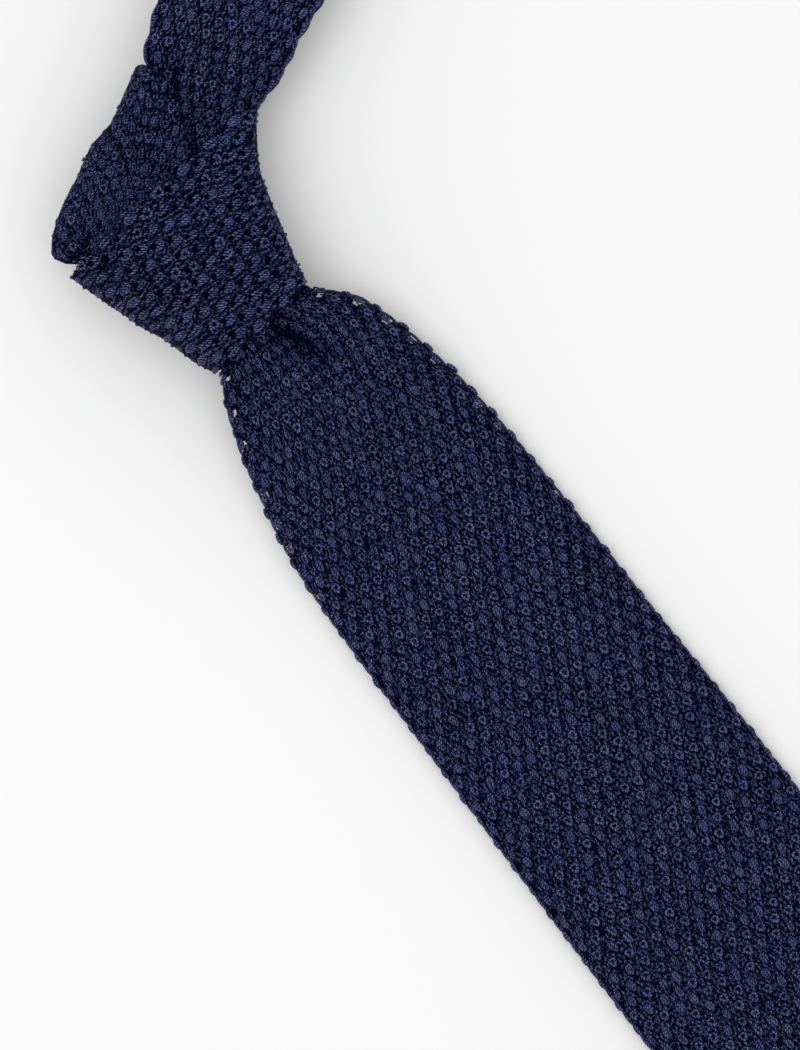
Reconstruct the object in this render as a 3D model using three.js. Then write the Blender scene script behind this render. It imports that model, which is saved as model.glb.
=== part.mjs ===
import * as THREE from "three";

// A tied knit tie, lying flat on its back.
// The origin is on the surface under the middle of the knot, the blade runs
// towards -Y, and the neck loop leaves the knot up and to the right.

// Driving dimensions of the cloth, in millimetres
const KNIT = 3;
const CLEARANCE = 0.3;
const WRAP_CLEARANCE = 0.6;

// Driving dimensions of the three strips
const BLADE_WIDTH = 60;
const BLADE_LENGTH = 480;
const TAIL_WIDTH = 40;
const TAIL_LENGTH = 350;
const NECK_WIDTH = 38;
const NECK_REACH = 225;
const NECK_ANGLE = 34;
const NECK_OPENING = 6;
const NECK_TURN = 6.9;

// Driving dimensions of the knot
const KNOT_HEIGHT = 36.4;
const KNOT_TOP_WIDTH = 55.2;
const KNOT_FOOT_WIDTH = 27.8;
const KNOT_TOP_TILT = 5.5;
const KNOT_FOOT_TILT = 7.4;
const BLADE_BUNCH = 5.5;
const TAIL_BUNCH = 4;
const FOOT_CROWN = 1.6;
const TOP_CROWN = 0.8;
const DIMPLE_DEPTH = 3.2;
const DIMPLE_WIDTH = 3.6;
const CREASE_DEPTH = 1.2;
const CREASE_WIDTH = 1.6;

// How finely the curved surfaces are cut into faces
const POINTS_ACROSS = 13;
const EDGE_POINTS = 4;
const POINTS_ROUND_KNOT = 48;
const ROWS_UP_KNOT = 12;
const INNER_ROW_STEP = 2;
const RIM_ANGLES = [45, 90, 135];
const HIDDEN_ROWS = 8;
const JOIN_ROWS = 4;
const FOLD_ROWS = 8;
const TURN_ROWS = 8;
const BLADE_STEPS = { end: 4, pastTail: 6, long: 12, spreading: 14, foot: 6 };
const TAIL_STEPS = { long: 10, spreading: 16 };
const NECK_STEPS = [
  { to: 0.12, count: 4 },
  { to: 0.26, count: 14 },
  { to: 0.62, count: 8 },
];
const NECK_LAST_STEPS = 6;

// A rounded end: where its extra point lies, and how thick the cloth is at
// its very end and at that point
const ROUND_POINT = 0.3;
const END_FACTORS = [0.35, 0.8];

// Six layers lie on each other at the knot's upper rim, four at its foot
const KNOT_TOP_THICKNESS = 6 * KNIT + 4 * CLEARANCE + WRAP_CLEARANCE + TOP_CROWN;
const FOOT_FILLING = TAIL_BUNCH + CLEARANCE + BLADE_BUNCH + FOOT_CROWN;
const KNOT_FOOT_THICKNESS = 2 * KNIT + CLEARANCE + WRAP_CLEARANCE + FOOT_FILLING;

// Roundness of the knot's front and back, as powers of a rounded rectangle
const FRONT_ROUNDNESS = 2.4;
const BACK_ROUNDNESS = 3.2;
const BACK_FLATNESS = 1.08;

// How much of the room in the knot the blade's strip takes, at its foot on
// both sides and at its upper rim on the left and on the right
const FOOT_SPREAD = 0.84;
const RIM_SPREAD_LEFT = 0.94;
const RIM_SPREAD_RIGHT = 0.42;

// The share of the knot's height over which its layers pile up
const PILED_UP = 0.6;

// How the blade falls to its edges: where the fall starts at the latest, as a
// share of its half width, and how much flatter it is at the knot's foot
const FALL_START = 0.85;
const FOOT_STIFFNESS = 0.65;

// The blade's foot, where its rows lie closest, as a share of its width
const BLADE_FOOT = 0.2;

// The line of the dimple, in shares of the blade's width: how far to the side
// it starts and how fast it runs to the side. The back bulges less than the
// front sinks, and both fade where the cloth is thinner than this.
const DIMPLE_START = 0.02;
const DIMPLE_SLOPE = 0.6;
const DIMPLE_BULGE = 0.3;
const FULL_DENT_HALF = 1;

// The two ends of the crease in the neck loop, as shares of the knot
const CREASE_START = { side: 0.234, up: 0.843 };
const CREASE_END = { side: 0.33, up: 1.071 };

// How far the tail reaches up into the knot, as a share of its width
const TAIL_HIDDEN = 0.55;

// How the knot opens from its foot to its upper rim:
// up is a share of its height, open a share of the step from foot width to
// top width, and side the middle's shift as a share of the top width
const KNOT_ROWS = [
  { up: 0.0, open: 0.0, side: -0.02 },
  { up: 0.15, open: 0.124, side: -0.033 },
  { up: 0.35, open: 0.27, side: -0.033 },
  { up: 0.5, open: 0.41, side: -0.042 },
  { up: 0.65, open: 0.533, side: -0.042 },
  { up: 0.85, open: 0.78, side: -0.022 },
  { up: 1.0, open: 1.0, side: 0.004 },
];

// How the blade spreads below the knot: down, width and side are shares of
// its full width, and lift is a share of the height that it comes down
const BLADE_ROWS = [
  { down: 0.0, width: 0.315, side: -0.018, lift: 1.0, thick: 1.0, dent: 0.6 },
  { down: 0.03, width: 0.34, side: -0.014, lift: 0.99, thick: 0.8, dent: 0.9 },
  { down: 0.075, width: 0.52, side: -0.006, lift: 0.96, thick: 0.4, dent: 1.0 },
  { down: 0.15, width: 0.635, side: 0.008, lift: 0.88, thick: 0.1, dent: 0.75 },
  { down: 0.3, width: 0.74, side: 0.011, lift: 0.62, thick: 0.0, dent: 0.2 },
  { down: 0.45, width: 0.81, side: 0.012, lift: 0.38, thick: 0.0, dent: 0.0 },
  { down: 0.6, width: 0.868, side: 0.008, lift: 0.22, thick: 0.0, dent: 0.0 },
  { down: 0.77, width: 0.905, side: 0.005, lift: 0.11, thick: 0.0, dent: 0.0 },
  { down: 1.0, width: 0.93, side: 0.005, lift: 0.02, thick: 0.0, dent: 0.0 },
  { down: 1.6, width: 0.955, side: 0.008, lift: 0.0, thick: 0.0, dent: 0.0 },
  { down: 2.4, width: 0.985, side: 0.0125, lift: 0.0, thick: 0.0, dent: 0.0 },
  { down: 4.0, width: 1.0, side: 0.0125, lift: 0.0, thick: 0.0, dent: 0.0 },
];

// How the tail spreads below the knot, in shares of its full width
const TAIL_ROWS = [
  { down: -0.55, width: 0.44, lift: 1.15, thick: 0.6 },
  { down: 0.0, width: 0.455, lift: 1.0, thick: 1.0 },
  { down: 0.1, width: 0.54, lift: 0.85, thick: 0.6 },
  { down: 0.22, width: 0.64, lift: 0.6, thick: 0.2 },
  { down: 0.45, width: 0.78, lift: 0.22, thick: 0.0 },
  { down: 0.7, width: 0.93, lift: 0.0, thick: 0.0 },
  { down: 1.0, width: 1.0, lift: 0.0, thick: 0.0 },
];

// The two edges of the neck loop, as shares of its width from its own line,
// and how far out from the knot's middle they are, as a share of its reach
const NECK_ROWS = [
  { out: 0.02, right: 0.12, left: 0.59 },
  { out: 0.143, right: 0.1, left: 0.6 },
  { out: 0.16, right: 0.063, left: 0.742 },
  { out: 0.189, right: 0.005, left: 0.774 },
  { out: 0.218, right: -0.008, left: 0.774 },
  { out: 0.264, right: -0.079, left: 0.779 },
  { out: 0.4, right: -0.153, left: 0.847 },
  { out: 1.0, right: -0.153, left: 0.847 },
];

// Where along its reach the neck loop starts, opens, closes on the surface
// and rises to its turn, as shares of the reach
const NECK_START = 0.02;
const NECK_OPENS = { from: 0.17, to: 0.4 };
const NECK_LANDS = { from: 0.15, to: 0.33 };
const NECK_RISES = 0.62;

// How much of its thickness the loop puffs up beside the knot, and where it
// is free of the knot's rim, in shares of the knot's height
const NECK_PUFF = 0.6;
const RIM_FREE = { from: 1.02, to: 1.2 };

// The fold at the top of the knot, where the blade's strip turns over:
// its two ends as shares of the knot's top width and height
const FOLD_LEFT = { side: -0.493, up: 0.566 };
const FOLD_RIGHT = { side: 0.212, up: 1.176 };
const FOLD_TIGHT_END = 0.34;
const FOLD_TIGHT_UNTIL = -0.4;

// Where the folded strip ends again inside the knot, in the same shares
const TUCK_LEFT = { side: -0.24, up: 0.22 };
const TUCK_RIGHT = { side: 0.14, up: 0.22 };

// Navy knitted silk, a little lighter in front and darker behind
const FRONT_NAVY = 0x20253f;
const KNOT_NAVY = 0x262b46;
const BACK_NAVY = 0x1c2139;
const SILK_ROUGHNESS = 0.62;

/** The middle height of a layer of cloth at the knot's upper rim. */
function layer(number) {
  return KNIT / 2 + number * (KNIT + CLEARANCE);
}

/** The middle height of the blade's strip under the knot's upper rim. */
function frontLayer() {
  return KNOT_TOP_THICKNESS - KNIT - WRAP_CLEARANCE - KNIT / 2;
}

/** A number between two others, at a share of the way. */
function between(start, end, share) {
  return start + (end - start) * share;
}

/** A soft step from 0 to 1 as a value goes from start to end. */
function softStep(value, start, end) {
  const share = THREE.MathUtils.clamp((value - start) / (end - start), 0, 1);
  return share * share * (3 - 2 * share);
}

/** A round hill of height 1 at 0, with the given half width. */
function hill(offset, halfWidth) {
  return Math.exp(-((offset / halfWidth) ** 2));
}

/** The straight slope between two rows of a table. */
function rowSlope(rows, key, name, index) {
  const rise = rows[index + 1][name] - rows[index][name];
  return rise / (rows[index + 1][key] - rows[index][key]);
}

/** The slope at a row, level where the column turns. */
function slopeAtRow(rows, key, name, index) {
  const before = rowSlope(rows, key, name, Math.max(index - 1, 0));
  const after = rowSlope(rows, key, name, Math.min(index, rows.length - 2));
  if (before * after <= 0) {
    return 0;
  }
  return (2 * before * after) / (before + after);
}

/** One column of a table, smoothly between its rows. */
function column(rows, key, name, place) {
  const last = rows.length - 1;
  const at = THREE.MathUtils.clamp(place, rows[0][key], rows[last][key]);
  let index = 0;
  while (index < last - 1 && at > rows[index + 1][key]) {
    index += 1;
  }
  const span = rows[index + 1][key] - rows[index][key];
  const t = (at - rows[index][key]) / span;
  const startSlope = slopeAtRow(rows, key, name, index) * span;
  const endSlope = slopeAtRow(rows, key, name, index + 1) * span;
  const start = rows[index][name] * (2 * t ** 3 - 3 * t ** 2 + 1);
  const end = rows[index + 1][name] * (3 * t ** 2 - 2 * t ** 3);
  return start + end + startSlope * (t ** 3 - 2 * t ** 2 + t) + endSlope * (t ** 3 - t ** 2);
}

/** The arch of a rounded rectangle: 1 in its middle, 0 at its side. */
function arch(share, roundness) {
  const inside = Math.max(1 - Math.abs(share) ** roundness, 0);
  return inside ** (1 / roundness);
}

/** The knot's section at a share of its height. */
function knotSection(up) {
  const share = THREE.MathUtils.clamp(up, 0, 1);
  const open = column(KNOT_ROWS, "up", "open", share);
  const thickness = between(KNOT_FOOT_THICKNESS, KNOT_TOP_THICKNESS, softStep(share, 0, PILED_UP));
  return {
    x: column(KNOT_ROWS, "up", "side", share) * KNOT_TOP_WIDTH,
    y: (up - 0.5) * KNOT_HEIGHT,
    halfWidth: between(KNOT_FOOT_WIDTH, KNOT_TOP_WIDTH, open) / 2,
    halfThickness: thickness / 2,
    lean: Math.tan(THREE.MathUtils.degToRad(between(KNOT_FOOT_TILT, KNOT_TOP_TILT, share))),
  };
}

/** The highest middle line of a layer that still fits under the knot's wrap. */
function underWrap(section, x, thickness) {
  const inset = KNIT + WRAP_CLEARANCE + thickness / 2;
  const rise = section.halfThickness - inset;
  const share = (x - section.x) / (section.halfWidth - inset);
  return section.halfThickness + rise * arch(share, FRONT_ROUNDNESS);
}

/** Shares from one edge of a strip to the other, with rounded edges. */
function acrossShares(edgeShare) {
  const shares = [-1, -1 + edgeShare * ROUND_POINT];
  const flatPoints = POINTS_ACROSS - EDGE_POINTS;
  for (let index = 0; index < flatPoints; index += 1) {
    shares.push(between(-1 + edgeShare, 1 - edgeShare, index / (flatPoints - 1)));
  }
  shares.push(1 - edgeShare * ROUND_POINT, 1);
  return shares;
}

/** How round the edge of a strip is: 1 on the flat, 0 at the very edge. */
function edgeRound(share, edgeShare) {
  const beyond = Math.max(Math.abs(share) - (1 - edgeShare), 0) / edgeShare;
  return Math.sqrt(Math.max(1 - beyond * beyond, 0));
}

/** A geometry from points and triangles of point numbers. */
function meshOf(points, triangles) {
  const geometry = new THREE.BufferGeometry();
  const numbers = points.flatMap((point) => [point.x, point.y, point.z]);
  geometry.setAttribute("position", new THREE.Float32BufferAttribute(numbers, 3));
  geometry.setIndex(triangles);
  geometry.computeVertexNormals();
  return geometry;
}

/** Two triangles for the face between four points. */
function addFace(triangles, a, b, c, d) {
  triangles.push(a, b, c, a, c, d);
}

/** The direction out of a middle surface at one of its grid points. */
function outOf(grid, row, index) {
  const before = grid[Math.max(row - 1, 0)][index];
  const after = grid[Math.min(row + 1, grid.length - 1)][index];
  const left = grid[row][Math.max(index - 1, 0)];
  const right = grid[row][Math.min(index + 1, grid[row].length - 1)];
  const along = new THREE.Vector3().subVectors(after, before);
  const across = new THREE.Vector3().subVectors(right, left);
  return across.cross(along).normalize();
}

/**
 * A closed strip of cloth round a grid of middle points.
 * Each place has its half thickness above and below the middle.
 */
function clothStrip(grid, above, below) {
  const width = grid[0].length;
  const ringSize = 2 * width - 2;
  const points = [];
  const triangles = [];
  grid.forEach((row, rowIndex) => {
    const out = row.map((_, index) => outOf(grid, rowIndex, index));
    row.forEach((middle, index) => {
      points.push(middle.clone().addScaledVector(out[index], above[rowIndex][index]));
    });
    for (let index = 1; index < width - 1; index += 1) {
      points.push(row[index].clone().addScaledVector(out[index], -below[rowIndex][index]));
    }
  });
  const top = (row, index) => row * ringSize + index;
  const bottom = (row, index) => {
    const onEdge = index === 0 || index === width - 1;
    return onEdge ? top(row, index) : row * ringSize + width + index - 1;
  };
  for (let row = 0; row < grid.length - 1; row += 1) {
    for (let index = 0; index < width - 1; index += 1) {
      addFace(triangles, top(row, index), top(row, index + 1), top(row + 1, index + 1), top(row + 1, index));
      addFace(
        triangles,
        bottom(row + 1, index),
        bottom(row + 1, index + 1),
        bottom(row, index + 1),
        bottom(row, index)
      );
    }
  }
  addEnd(triangles, width, (index) => bottom(0, index), (index) => top(0, index));
  const last = grid.length - 1;
  addEnd(triangles, width, (index) => top(last, index), (index) => bottom(last, index));
  return meshOf(points, triangles);
}

/** The flat end of a strip, between two lines that share their end points. */
function addEnd(triangles, width, first, second) {
  triangles.push(first(0), first(1), second(1));
  for (let index = 1; index < width - 2; index += 1) {
    addFace(triangles, first(index), first(index + 1), second(index + 1), second(index));
  }
  triangles.push(first(width - 2), first(width - 1), second(width - 2));
}

/** Half thicknesses of a row of cloth, rounded at its edges and its end. */
function halvesOf(shares, edgeShare, thickness, endFactor) {
  return shares.map((share) => (thickness / 2) * endFactor * edgeRound(share, edgeShare));
}

// The blade's strip

/** The blade's outline and height at a distance below the knot's foot. */
function bladeSection(down) {
  const place = down / BLADE_WIDTH;
  const footLayer = KNOT_FOOT_THICKNESS - KNIT - WRAP_CLEARANCE - BLADE_BUNCH / 2;
  const overTail = KNIT + CLEARANCE + KNIT / 2;
  const onSurface = KNIT / 2;
  const pastTail = softStep(down, TAIL_LENGTH + CLEARANCE + KNIT / 2, TAIL_LENGTH + BLADE_WIDTH / 2);
  const lift = column(BLADE_ROWS, "down", "lift", place);
  return {
    lift,
    halfWidth: (column(BLADE_ROWS, "down", "width", place) * BLADE_WIDTH) / 2,
    x: column(BLADE_ROWS, "down", "side", place) * BLADE_WIDTH,
    y: -KNOT_HEIGHT / 2 - down,
    z: between(between(overTail, footLayer, lift), onSurface, pastTail),
    thickness: between(KNIT, BLADE_BUNCH, column(BLADE_ROWS, "down", "thick", place)),
    dent: column(BLADE_ROWS, "down", "dent", place) * DIMPLE_DEPTH,
    tilt: Math.tan(THREE.MathUtils.degToRad(KNOT_FOOT_TILT)) * lift,
  };
}

/** One point in the middle of the blade's cloth. */
function bladePoint(section, share, down) {
  const x = section.halfWidth * share;
  const overTail = tailSection(down).halfWidth + CLEARANCE + KNIT / 2;
  const start = Math.min(overTail, FALL_START * section.halfWidth);
  const fall = softStep(Math.abs(x), start, section.halfWidth) * (1 - FOOT_STIFFNESS * section.lift);
  const rise = KNOT_FOOT_THICKNESS / 2 - KNIT - WRAP_CLEARANCE - BLADE_BUNCH / 2;
  const crown = section.lift * rise * (1 - arch(FOOT_SPREAD * share, FRONT_ROUNDNESS));
  return new THREE.Vector3(
    section.x + x,
    section.y + x * section.tilt,
    between(section.z - crown, KNIT / 2, fall)
  );
}

/** How deep the dimple under the knot is at a point of the blade. */
function dimpleAt(section, point, down) {
  const line = (DIMPLE_START + DIMPLE_SLOPE * (down / BLADE_WIDTH)) * BLADE_WIDTH;
  return section.dent * hill(point.x - line, DIMPLE_WIDTH);
}

/** The distances below the knot at which the blade has a row of points. */
function bladeDistances() {
  const endRound = KNIT / 2;
  const distances = roundedEnd(BLADE_LENGTH);
  const pastTail = TAIL_LENGTH + BLADE_WIDTH / 2;
  const foot = BLADE_WIDTH * BLADE_FOOT;
  addSteps(distances, BLADE_LENGTH - endRound, pastTail, BLADE_STEPS.end);
  addSteps(distances, pastTail, TAIL_LENGTH, BLADE_STEPS.pastTail);
  addSteps(distances, TAIL_LENGTH, BLADE_WIDTH, BLADE_STEPS.long);
  addSteps(distances, BLADE_WIDTH, foot, BLADE_STEPS.spreading);
  addSteps(distances, foot, 0, BLADE_STEPS.foot);
  return distances;
}

/** The first three rows of a strip, at its rounded end. */
function roundedEnd(length) {
  const endRound = KNIT / 2;
  return [length, length - endRound * ROUND_POINT, length - endRound];
}

/** Adds even steps from a start, which is there already, to an end. */
function addSteps(list, start, end, count) {
  for (let step = 1; step <= count; step += 1) {
    list.push(between(start, end, step / count));
  }
}

/** The strip inside the knot, at a share of the knot's height. */
function hiddenRow(up, shares, thickness) {
  const section = knotSection(up);
  const inset = KNIT + WRAP_CLEARANCE + thickness / 2;
  const room = section.halfWidth - inset;
  const left = between(-FOOT_SPREAD, -RIM_SPREAD_LEFT, up);
  const right = between(FOOT_SPREAD, RIM_SPREAD_RIGHT, up);
  return shares.map((share) => {
    const x = room * between(left, right, (share + 1) / 2);
    const z = underWrap(section, section.x + x, thickness);
    return new THREE.Vector3(section.x + x, section.y + x * section.lean, z);
  });
}

/** The place on the surface under a point given in shares of the knot. */
function knotPlace(shares) {
  return new THREE.Vector3(shares.side * KNOT_TOP_WIDTH, shares.up * KNOT_HEIGHT, 0);
}

/** The plain radius of the fold, small at its left end. */
function foldRadius(share) {
  const full = (frontLayer() - layer(1)) / 2;
  return full * between(FOLD_TIGHT_END, 1, softStep(share, -1, FOLD_TIGHT_UNTIL));
}

/** A row of points on the fold, turned by an angle over its crest. */
function foldRow(angle, shares) {
  const left = knotPlace(FOLD_LEFT);
  const right = knotPlace(FOLD_RIGHT);
  const line = new THREE.Vector3().subVectors(right, left).normalize();
  const outward = new THREE.Vector3(-line.y, line.x, 0);
  const height = (frontLayer() + layer(1)) / 2;
  return shares.map((share) => {
    const radius = foldRadius(share);
    const crest = left.clone().lerp(right, (share + 1) / 2);
    const back = KNIT / 2 + radius * (1 - Math.sin(angle));
    crest.addScaledVector(outward, -back);
    crest.z = height + radius * Math.cos(angle);
    return crest;
  });
}

/** Rows between two rows of points, without the two themselves. */
function rowsBetween(first, last, count) {
  const rows = [];
  for (let step = 1; step < count; step += 1) {
    rows.push(first.map((point, index) => point.clone().lerp(last[index], step / count)));
  }
  return rows;
}

/** The strip of the blade: up through the knot, over its top and back in. */
function frontBlade() {
  const grid = [];
  const above = [];
  const below = [];
  bladeDistances().forEach((down, index) => {
    const section = bladeSection(down);
    const edgeShare = section.thickness / 2 / section.halfWidth;
    const shares = acrossShares(edgeShare);
    const row = shares.map((share) => bladePoint(section, share, down));
    const endFactor = END_FACTORS[index] ?? 1;
    const halves = halvesOf(shares, edgeShare, section.thickness, endFactor);
    const dents = row.map((point) => dimpleAt(section, point, down));
    grid.push(row);
    above.push(halves.map((half, place) => half - dents[place] * Math.min(half, FULL_DENT_HALF)));
    below.push(
      halves.map((half, place) => half + DIMPLE_BULGE * dents[place] * Math.min(half, FULL_DENT_HALF))
    );
  });
  const addRow = (row, thickness) => {
    const edgeShare = thickness / KNOT_TOP_WIDTH;
    const halves = halvesOf(acrossShares(edgeShare), edgeShare, thickness, 1);
    grid.push(row);
    above.push(halves);
    below.push(halves);
  };
  for (let step = 1; step <= HIDDEN_ROWS; step += 1) {
    const up = step / HIDDEN_ROWS;
    const thickness = between(BLADE_BUNCH, KNIT, softStep(up, 0, PILED_UP));
    addRow(hiddenRow(up, acrossShares(thickness / KNOT_TOP_WIDTH), thickness), thickness);
  }
  const shares = acrossShares(KNIT / KNOT_TOP_WIDTH);
  const foldStart = foldRow(0, shares);
  const foldEnd = foldRow(Math.PI, shares);
  const tucked = shares.map((share) => {
    const point = knotPlace(TUCK_LEFT).lerp(knotPlace(TUCK_RIGHT), (share + 1) / 2);
    return point.setZ(layer(1));
  });
  rowsBetween(grid[grid.length - 1], foldStart, JOIN_ROWS).forEach((row) => addRow(row, KNIT));
  for (let step = 0; step <= FOLD_ROWS; step += 1) {
    addRow(foldRow((Math.PI * step) / FOLD_ROWS, shares), KNIT);
  }
  rowsBetween(foldEnd, tucked, JOIN_ROWS).forEach((row) => addRow(row, KNIT));
  addRow(tucked, KNIT);
  return clothStrip(grid, above, below);
}

// The tail's strip

/** The tail's outline and height at a distance below the knot's foot. */
function tailSection(down) {
  const place = down / TAIL_WIDTH;
  const footLayer = KNIT + CLEARANCE + TAIL_BUNCH / 2;
  const squeezed = (column(TAIL_ROWS, "down", "width", place) * TAIL_WIDTH) / 2;
  return {
    halfWidth: squeezed,
    x: column(BLADE_ROWS, "down", "side", down / BLADE_WIDTH) * BLADE_WIDTH,
    z: between(KNIT / 2, footLayer, column(TAIL_ROWS, "down", "lift", place)),
    thickness: between(KNIT, TAIL_BUNCH, column(TAIL_ROWS, "down", "thick", place)),
  };
}

/** The narrow end: out of the back of the knot and under the blade. */
function tailBlade() {
  const endRound = KNIT / 2;
  const distances = roundedEnd(TAIL_LENGTH);
  addSteps(distances, TAIL_LENGTH - endRound, TAIL_WIDTH, TAIL_STEPS.long);
  addSteps(distances, TAIL_WIDTH, -TAIL_WIDTH * TAIL_HIDDEN, TAIL_STEPS.spreading);
  const grid = [];
  const halves = [];
  distances.forEach((down, index) => {
    const section = tailSection(down);
    const edgeShare = section.thickness / 2 / section.halfWidth;
    const shares = acrossShares(edgeShare);
    const endFactor = END_FACTORS[index] ?? 1;
    const y = -KNOT_HEIGHT / 2 - down;
    const xAt = (share) => section.x + section.halfWidth * share;
    grid.push(shares.map((share) => new THREE.Vector3(xAt(share), y, section.z)));
    halves.push(halvesOf(shares, edgeShare, section.thickness, endFactor));
  });
  return clothStrip(grid, halves, halves);
}

// The neck loop

/** The directions along and across the neck loop, seen from above. */
function neckAxes() {
  const angle = THREE.MathUtils.degToRad(NECK_ANGLE);
  return {
    along: new THREE.Vector3(Math.cos(angle), Math.sin(angle), 0),
    across: new THREE.Vector3(Math.sin(angle), -Math.cos(angle), 0),
  };
}

/** The place on the surface under a point of the neck loop. */
function neckPlace(out, share) {
  const axes = neckAxes();
  const left = column(NECK_ROWS, "out", "left", out / NECK_REACH) * NECK_WIDTH;
  const right = column(NECK_ROWS, "out", "right", out / NECK_REACH) * NECK_WIDTH;
  const side = -between(left, right, (share + 1) / 2);
  return axes.along.clone().multiplyScalar(out).addScaledVector(axes.across, side);
}

/** The height of the upper leg's middle at a place. */
function upperLegHeight(out, place) {
  const open = KNIT * 1.5 + NECK_OPENING;
  const turn = KNIT / 2 + 2 * NECK_TURN;
  const farOut = softStep(out, NECK_OPENS.from * NECK_REACH, NECK_OPENS.to * NECK_REACH);
  const atTurn = softStep(out, NECK_RISES * NECK_REACH, turnStart());
  const foldEnd = knotPlace(FOLD_RIGHT).x + KNIT / 2 + 2 * CLEARANCE;
  const beside = softStep(place.x, foldEnd, foldEnd + 2 * KNIT);
  const puff = beside * NECK_PUFF * KNIT;
  const free = between(between(layer(3) + puff, open, farOut), turn, atTurn);
  return Math.min(free, underRim(place, free, beside));
}

/** Keeps the neck loop under the knot's wrap, and under the blade's strip in it. */
function underRim(place, free, beside) {
  const up = (place.y - place.x * knotSection(1).lean) / KNOT_HEIGHT + 0.5;
  const section = knotSection(up);
  const room = underWrap(section, place.x, KNIT);
  const limit = room - (1 - beside) * (KNIT + CLEARANCE);
  return between(limit, free, softStep(up, RIM_FREE.from, RIM_FREE.to));
}

/** How far out the turn at the back of the neck starts. */
function turnStart() {
  return NECK_REACH - NECK_TURN - KNIT / 2;
}

/** The height of the lower leg's middle at a place. */
function lowerLegHeight(out, place) {
  const down = softStep(out, NECK_LANDS.from * NECK_REACH, NECK_LANDS.to * NECK_REACH);
  const inKnot = Math.min(layer(2), upperLegHeight(out, place) - KNIT - CLEARANCE);
  return between(inKnot, KNIT / 2, down);
}

/** How deep the crease in the neck band is beside the knot. */
function creaseAt(place) {
  const line = new THREE.Line3(knotPlace(CREASE_START), knotPlace(CREASE_END));
  const flat = new THREE.Vector3(place.x, place.y, 0);
  const nearest = line.closestPointToPoint(flat, true, new THREE.Vector3());
  return CREASE_DEPTH * hill(nearest.distanceTo(flat), CREASE_WIDTH);
}

/** How far out the neck loop has a row of points. */
function neckDistances() {
  const outs = [NECK_START * NECK_REACH];
  let from = NECK_START;
  NECK_STEPS.forEach((part) => {
    addSteps(outs, from * NECK_REACH, part.to * NECK_REACH, part.count);
    from = part.to;
  });
  addSteps(outs, from * NECK_REACH, turnStart(), NECK_LAST_STEPS);
  return outs;
}

/** The neck loop: out, round the back of the neck, and back to the knot. */
function neckLoop() {
  const edgeShare = KNIT / NECK_WIDTH;
  const shares = acrossShares(edgeShare);
  const outs = neckDistances();
  const grid = [];
  const creases = [];
  const addLeg = (out, heightAt, creased) => {
    const places = shares.map((share) => neckPlace(out, share));
    grid.push(places.map((place) => new THREE.Vector3(place.x, place.y, heightAt(out, place))));
    creases.push(places.map((place) => (creased ? creaseAt(place) : 0)));
  };
  outs.forEach((out) => addLeg(out, upperLegHeight, true));
  for (let step = 1; step < TURN_ROWS; step += 1) {
    const angle = (Math.PI * step) / TURN_ROWS;
    const out = turnStart() + NECK_TURN * Math.sin(angle);
    addLeg(out, () => KNIT / 2 + NECK_TURN * (1 + Math.cos(angle)), false);
  }
  outs.reverse().forEach((out) => addLeg(out, lowerLegHeight, false));
  const halves = halvesOf(shares, edgeShare, KNIT, 1);
  const sunken = (crease, half) => half - crease * Math.min(half, FULL_DENT_HALF);
  const above = creases.map((row) => row.map((crease, index) => sunken(crease, halves[index])));
  const below = grid.map(() => halves);
  return clothStrip(grid, above, below);
}

// The knot's wrap

/** A point of the wrap's wall at a depth under its outer face. */
function wrapPoint(up, depth, angle) {
  const section = knotSection(up);
  const cosine = Math.cos(angle);
  const sine = Math.sin(angle);
  const front = sine >= 0;
  const roundness = front ? FRONT_ROUNDNESS : BACK_ROUNDNESS;
  const power = 2 / roundness;
  const x = (section.halfWidth - depth) * Math.sign(cosine) * Math.abs(cosine) ** power;
  const rise = (section.halfThickness - depth) * Math.abs(sine) ** power;
  const z = front ? section.halfThickness + rise : section.halfThickness - rise * BACK_FLATNESS;
  return new THREE.Vector3(section.x + x, section.y + x * section.lean, Math.max(z, depth));
}

/** The places up the wall, out and in, that make one closed profile. */
function wrapProfile() {
  const rim = KNIT / 2;
  const rimShare = rim / KNOT_HEIGHT;
  const profile = [];
  for (let row = 0; row <= ROWS_UP_KNOT; row += 1) {
    profile.push({ up: between(rimShare, 1 - rimShare, row / ROWS_UP_KNOT), depth: 0 });
  }
  RIM_ANGLES.forEach((degrees) => {
    const angle = THREE.MathUtils.degToRad(degrees);
    profile.push({ up: 1 - rimShare * (1 - Math.sin(angle)), depth: rim * (1 - Math.cos(angle)) });
  });
  for (let row = ROWS_UP_KNOT; row >= 0; row -= INNER_ROW_STEP) {
    profile.push({ up: between(rimShare, 1 - rimShare, row / ROWS_UP_KNOT), depth: KNIT });
  }
  [...RIM_ANGLES].reverse().forEach((degrees) => {
    const angle = THREE.MathUtils.degToRad(degrees);
    profile.push({ up: rimShare * (1 - Math.sin(angle)), depth: rim * (1 - Math.cos(angle)) });
  });
  return profile;
}

/** The wrap of the knot: a tapered sleeve, open at its top and its foot. */
function knotWrap() {
  const profile = wrapProfile();
  const points = [];
  const triangles = [];
  profile.forEach((place) => {
    for (let index = 0; index < POINTS_ROUND_KNOT; index += 1) {
      const angle = (2 * Math.PI * (index + 0.5)) / POINTS_ROUND_KNOT;
      points.push(wrapPoint(place.up, place.depth, angle));
    }
  });
  const number = (row, index) => (row % profile.length) * POINTS_ROUND_KNOT + (index % POINTS_ROUND_KNOT);
  profile.forEach((_, row) => {
    for (let index = 0; index < POINTS_ROUND_KNOT; index += 1) {
      addFace(
        triangles,
        number(row, index),
        number(row + 1, index),
        number(row + 1, index + 1),
        number(row, index + 1)
      );
    }
  });
  return meshOf(points, triangles);
}

// Materials and the finished tie

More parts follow.
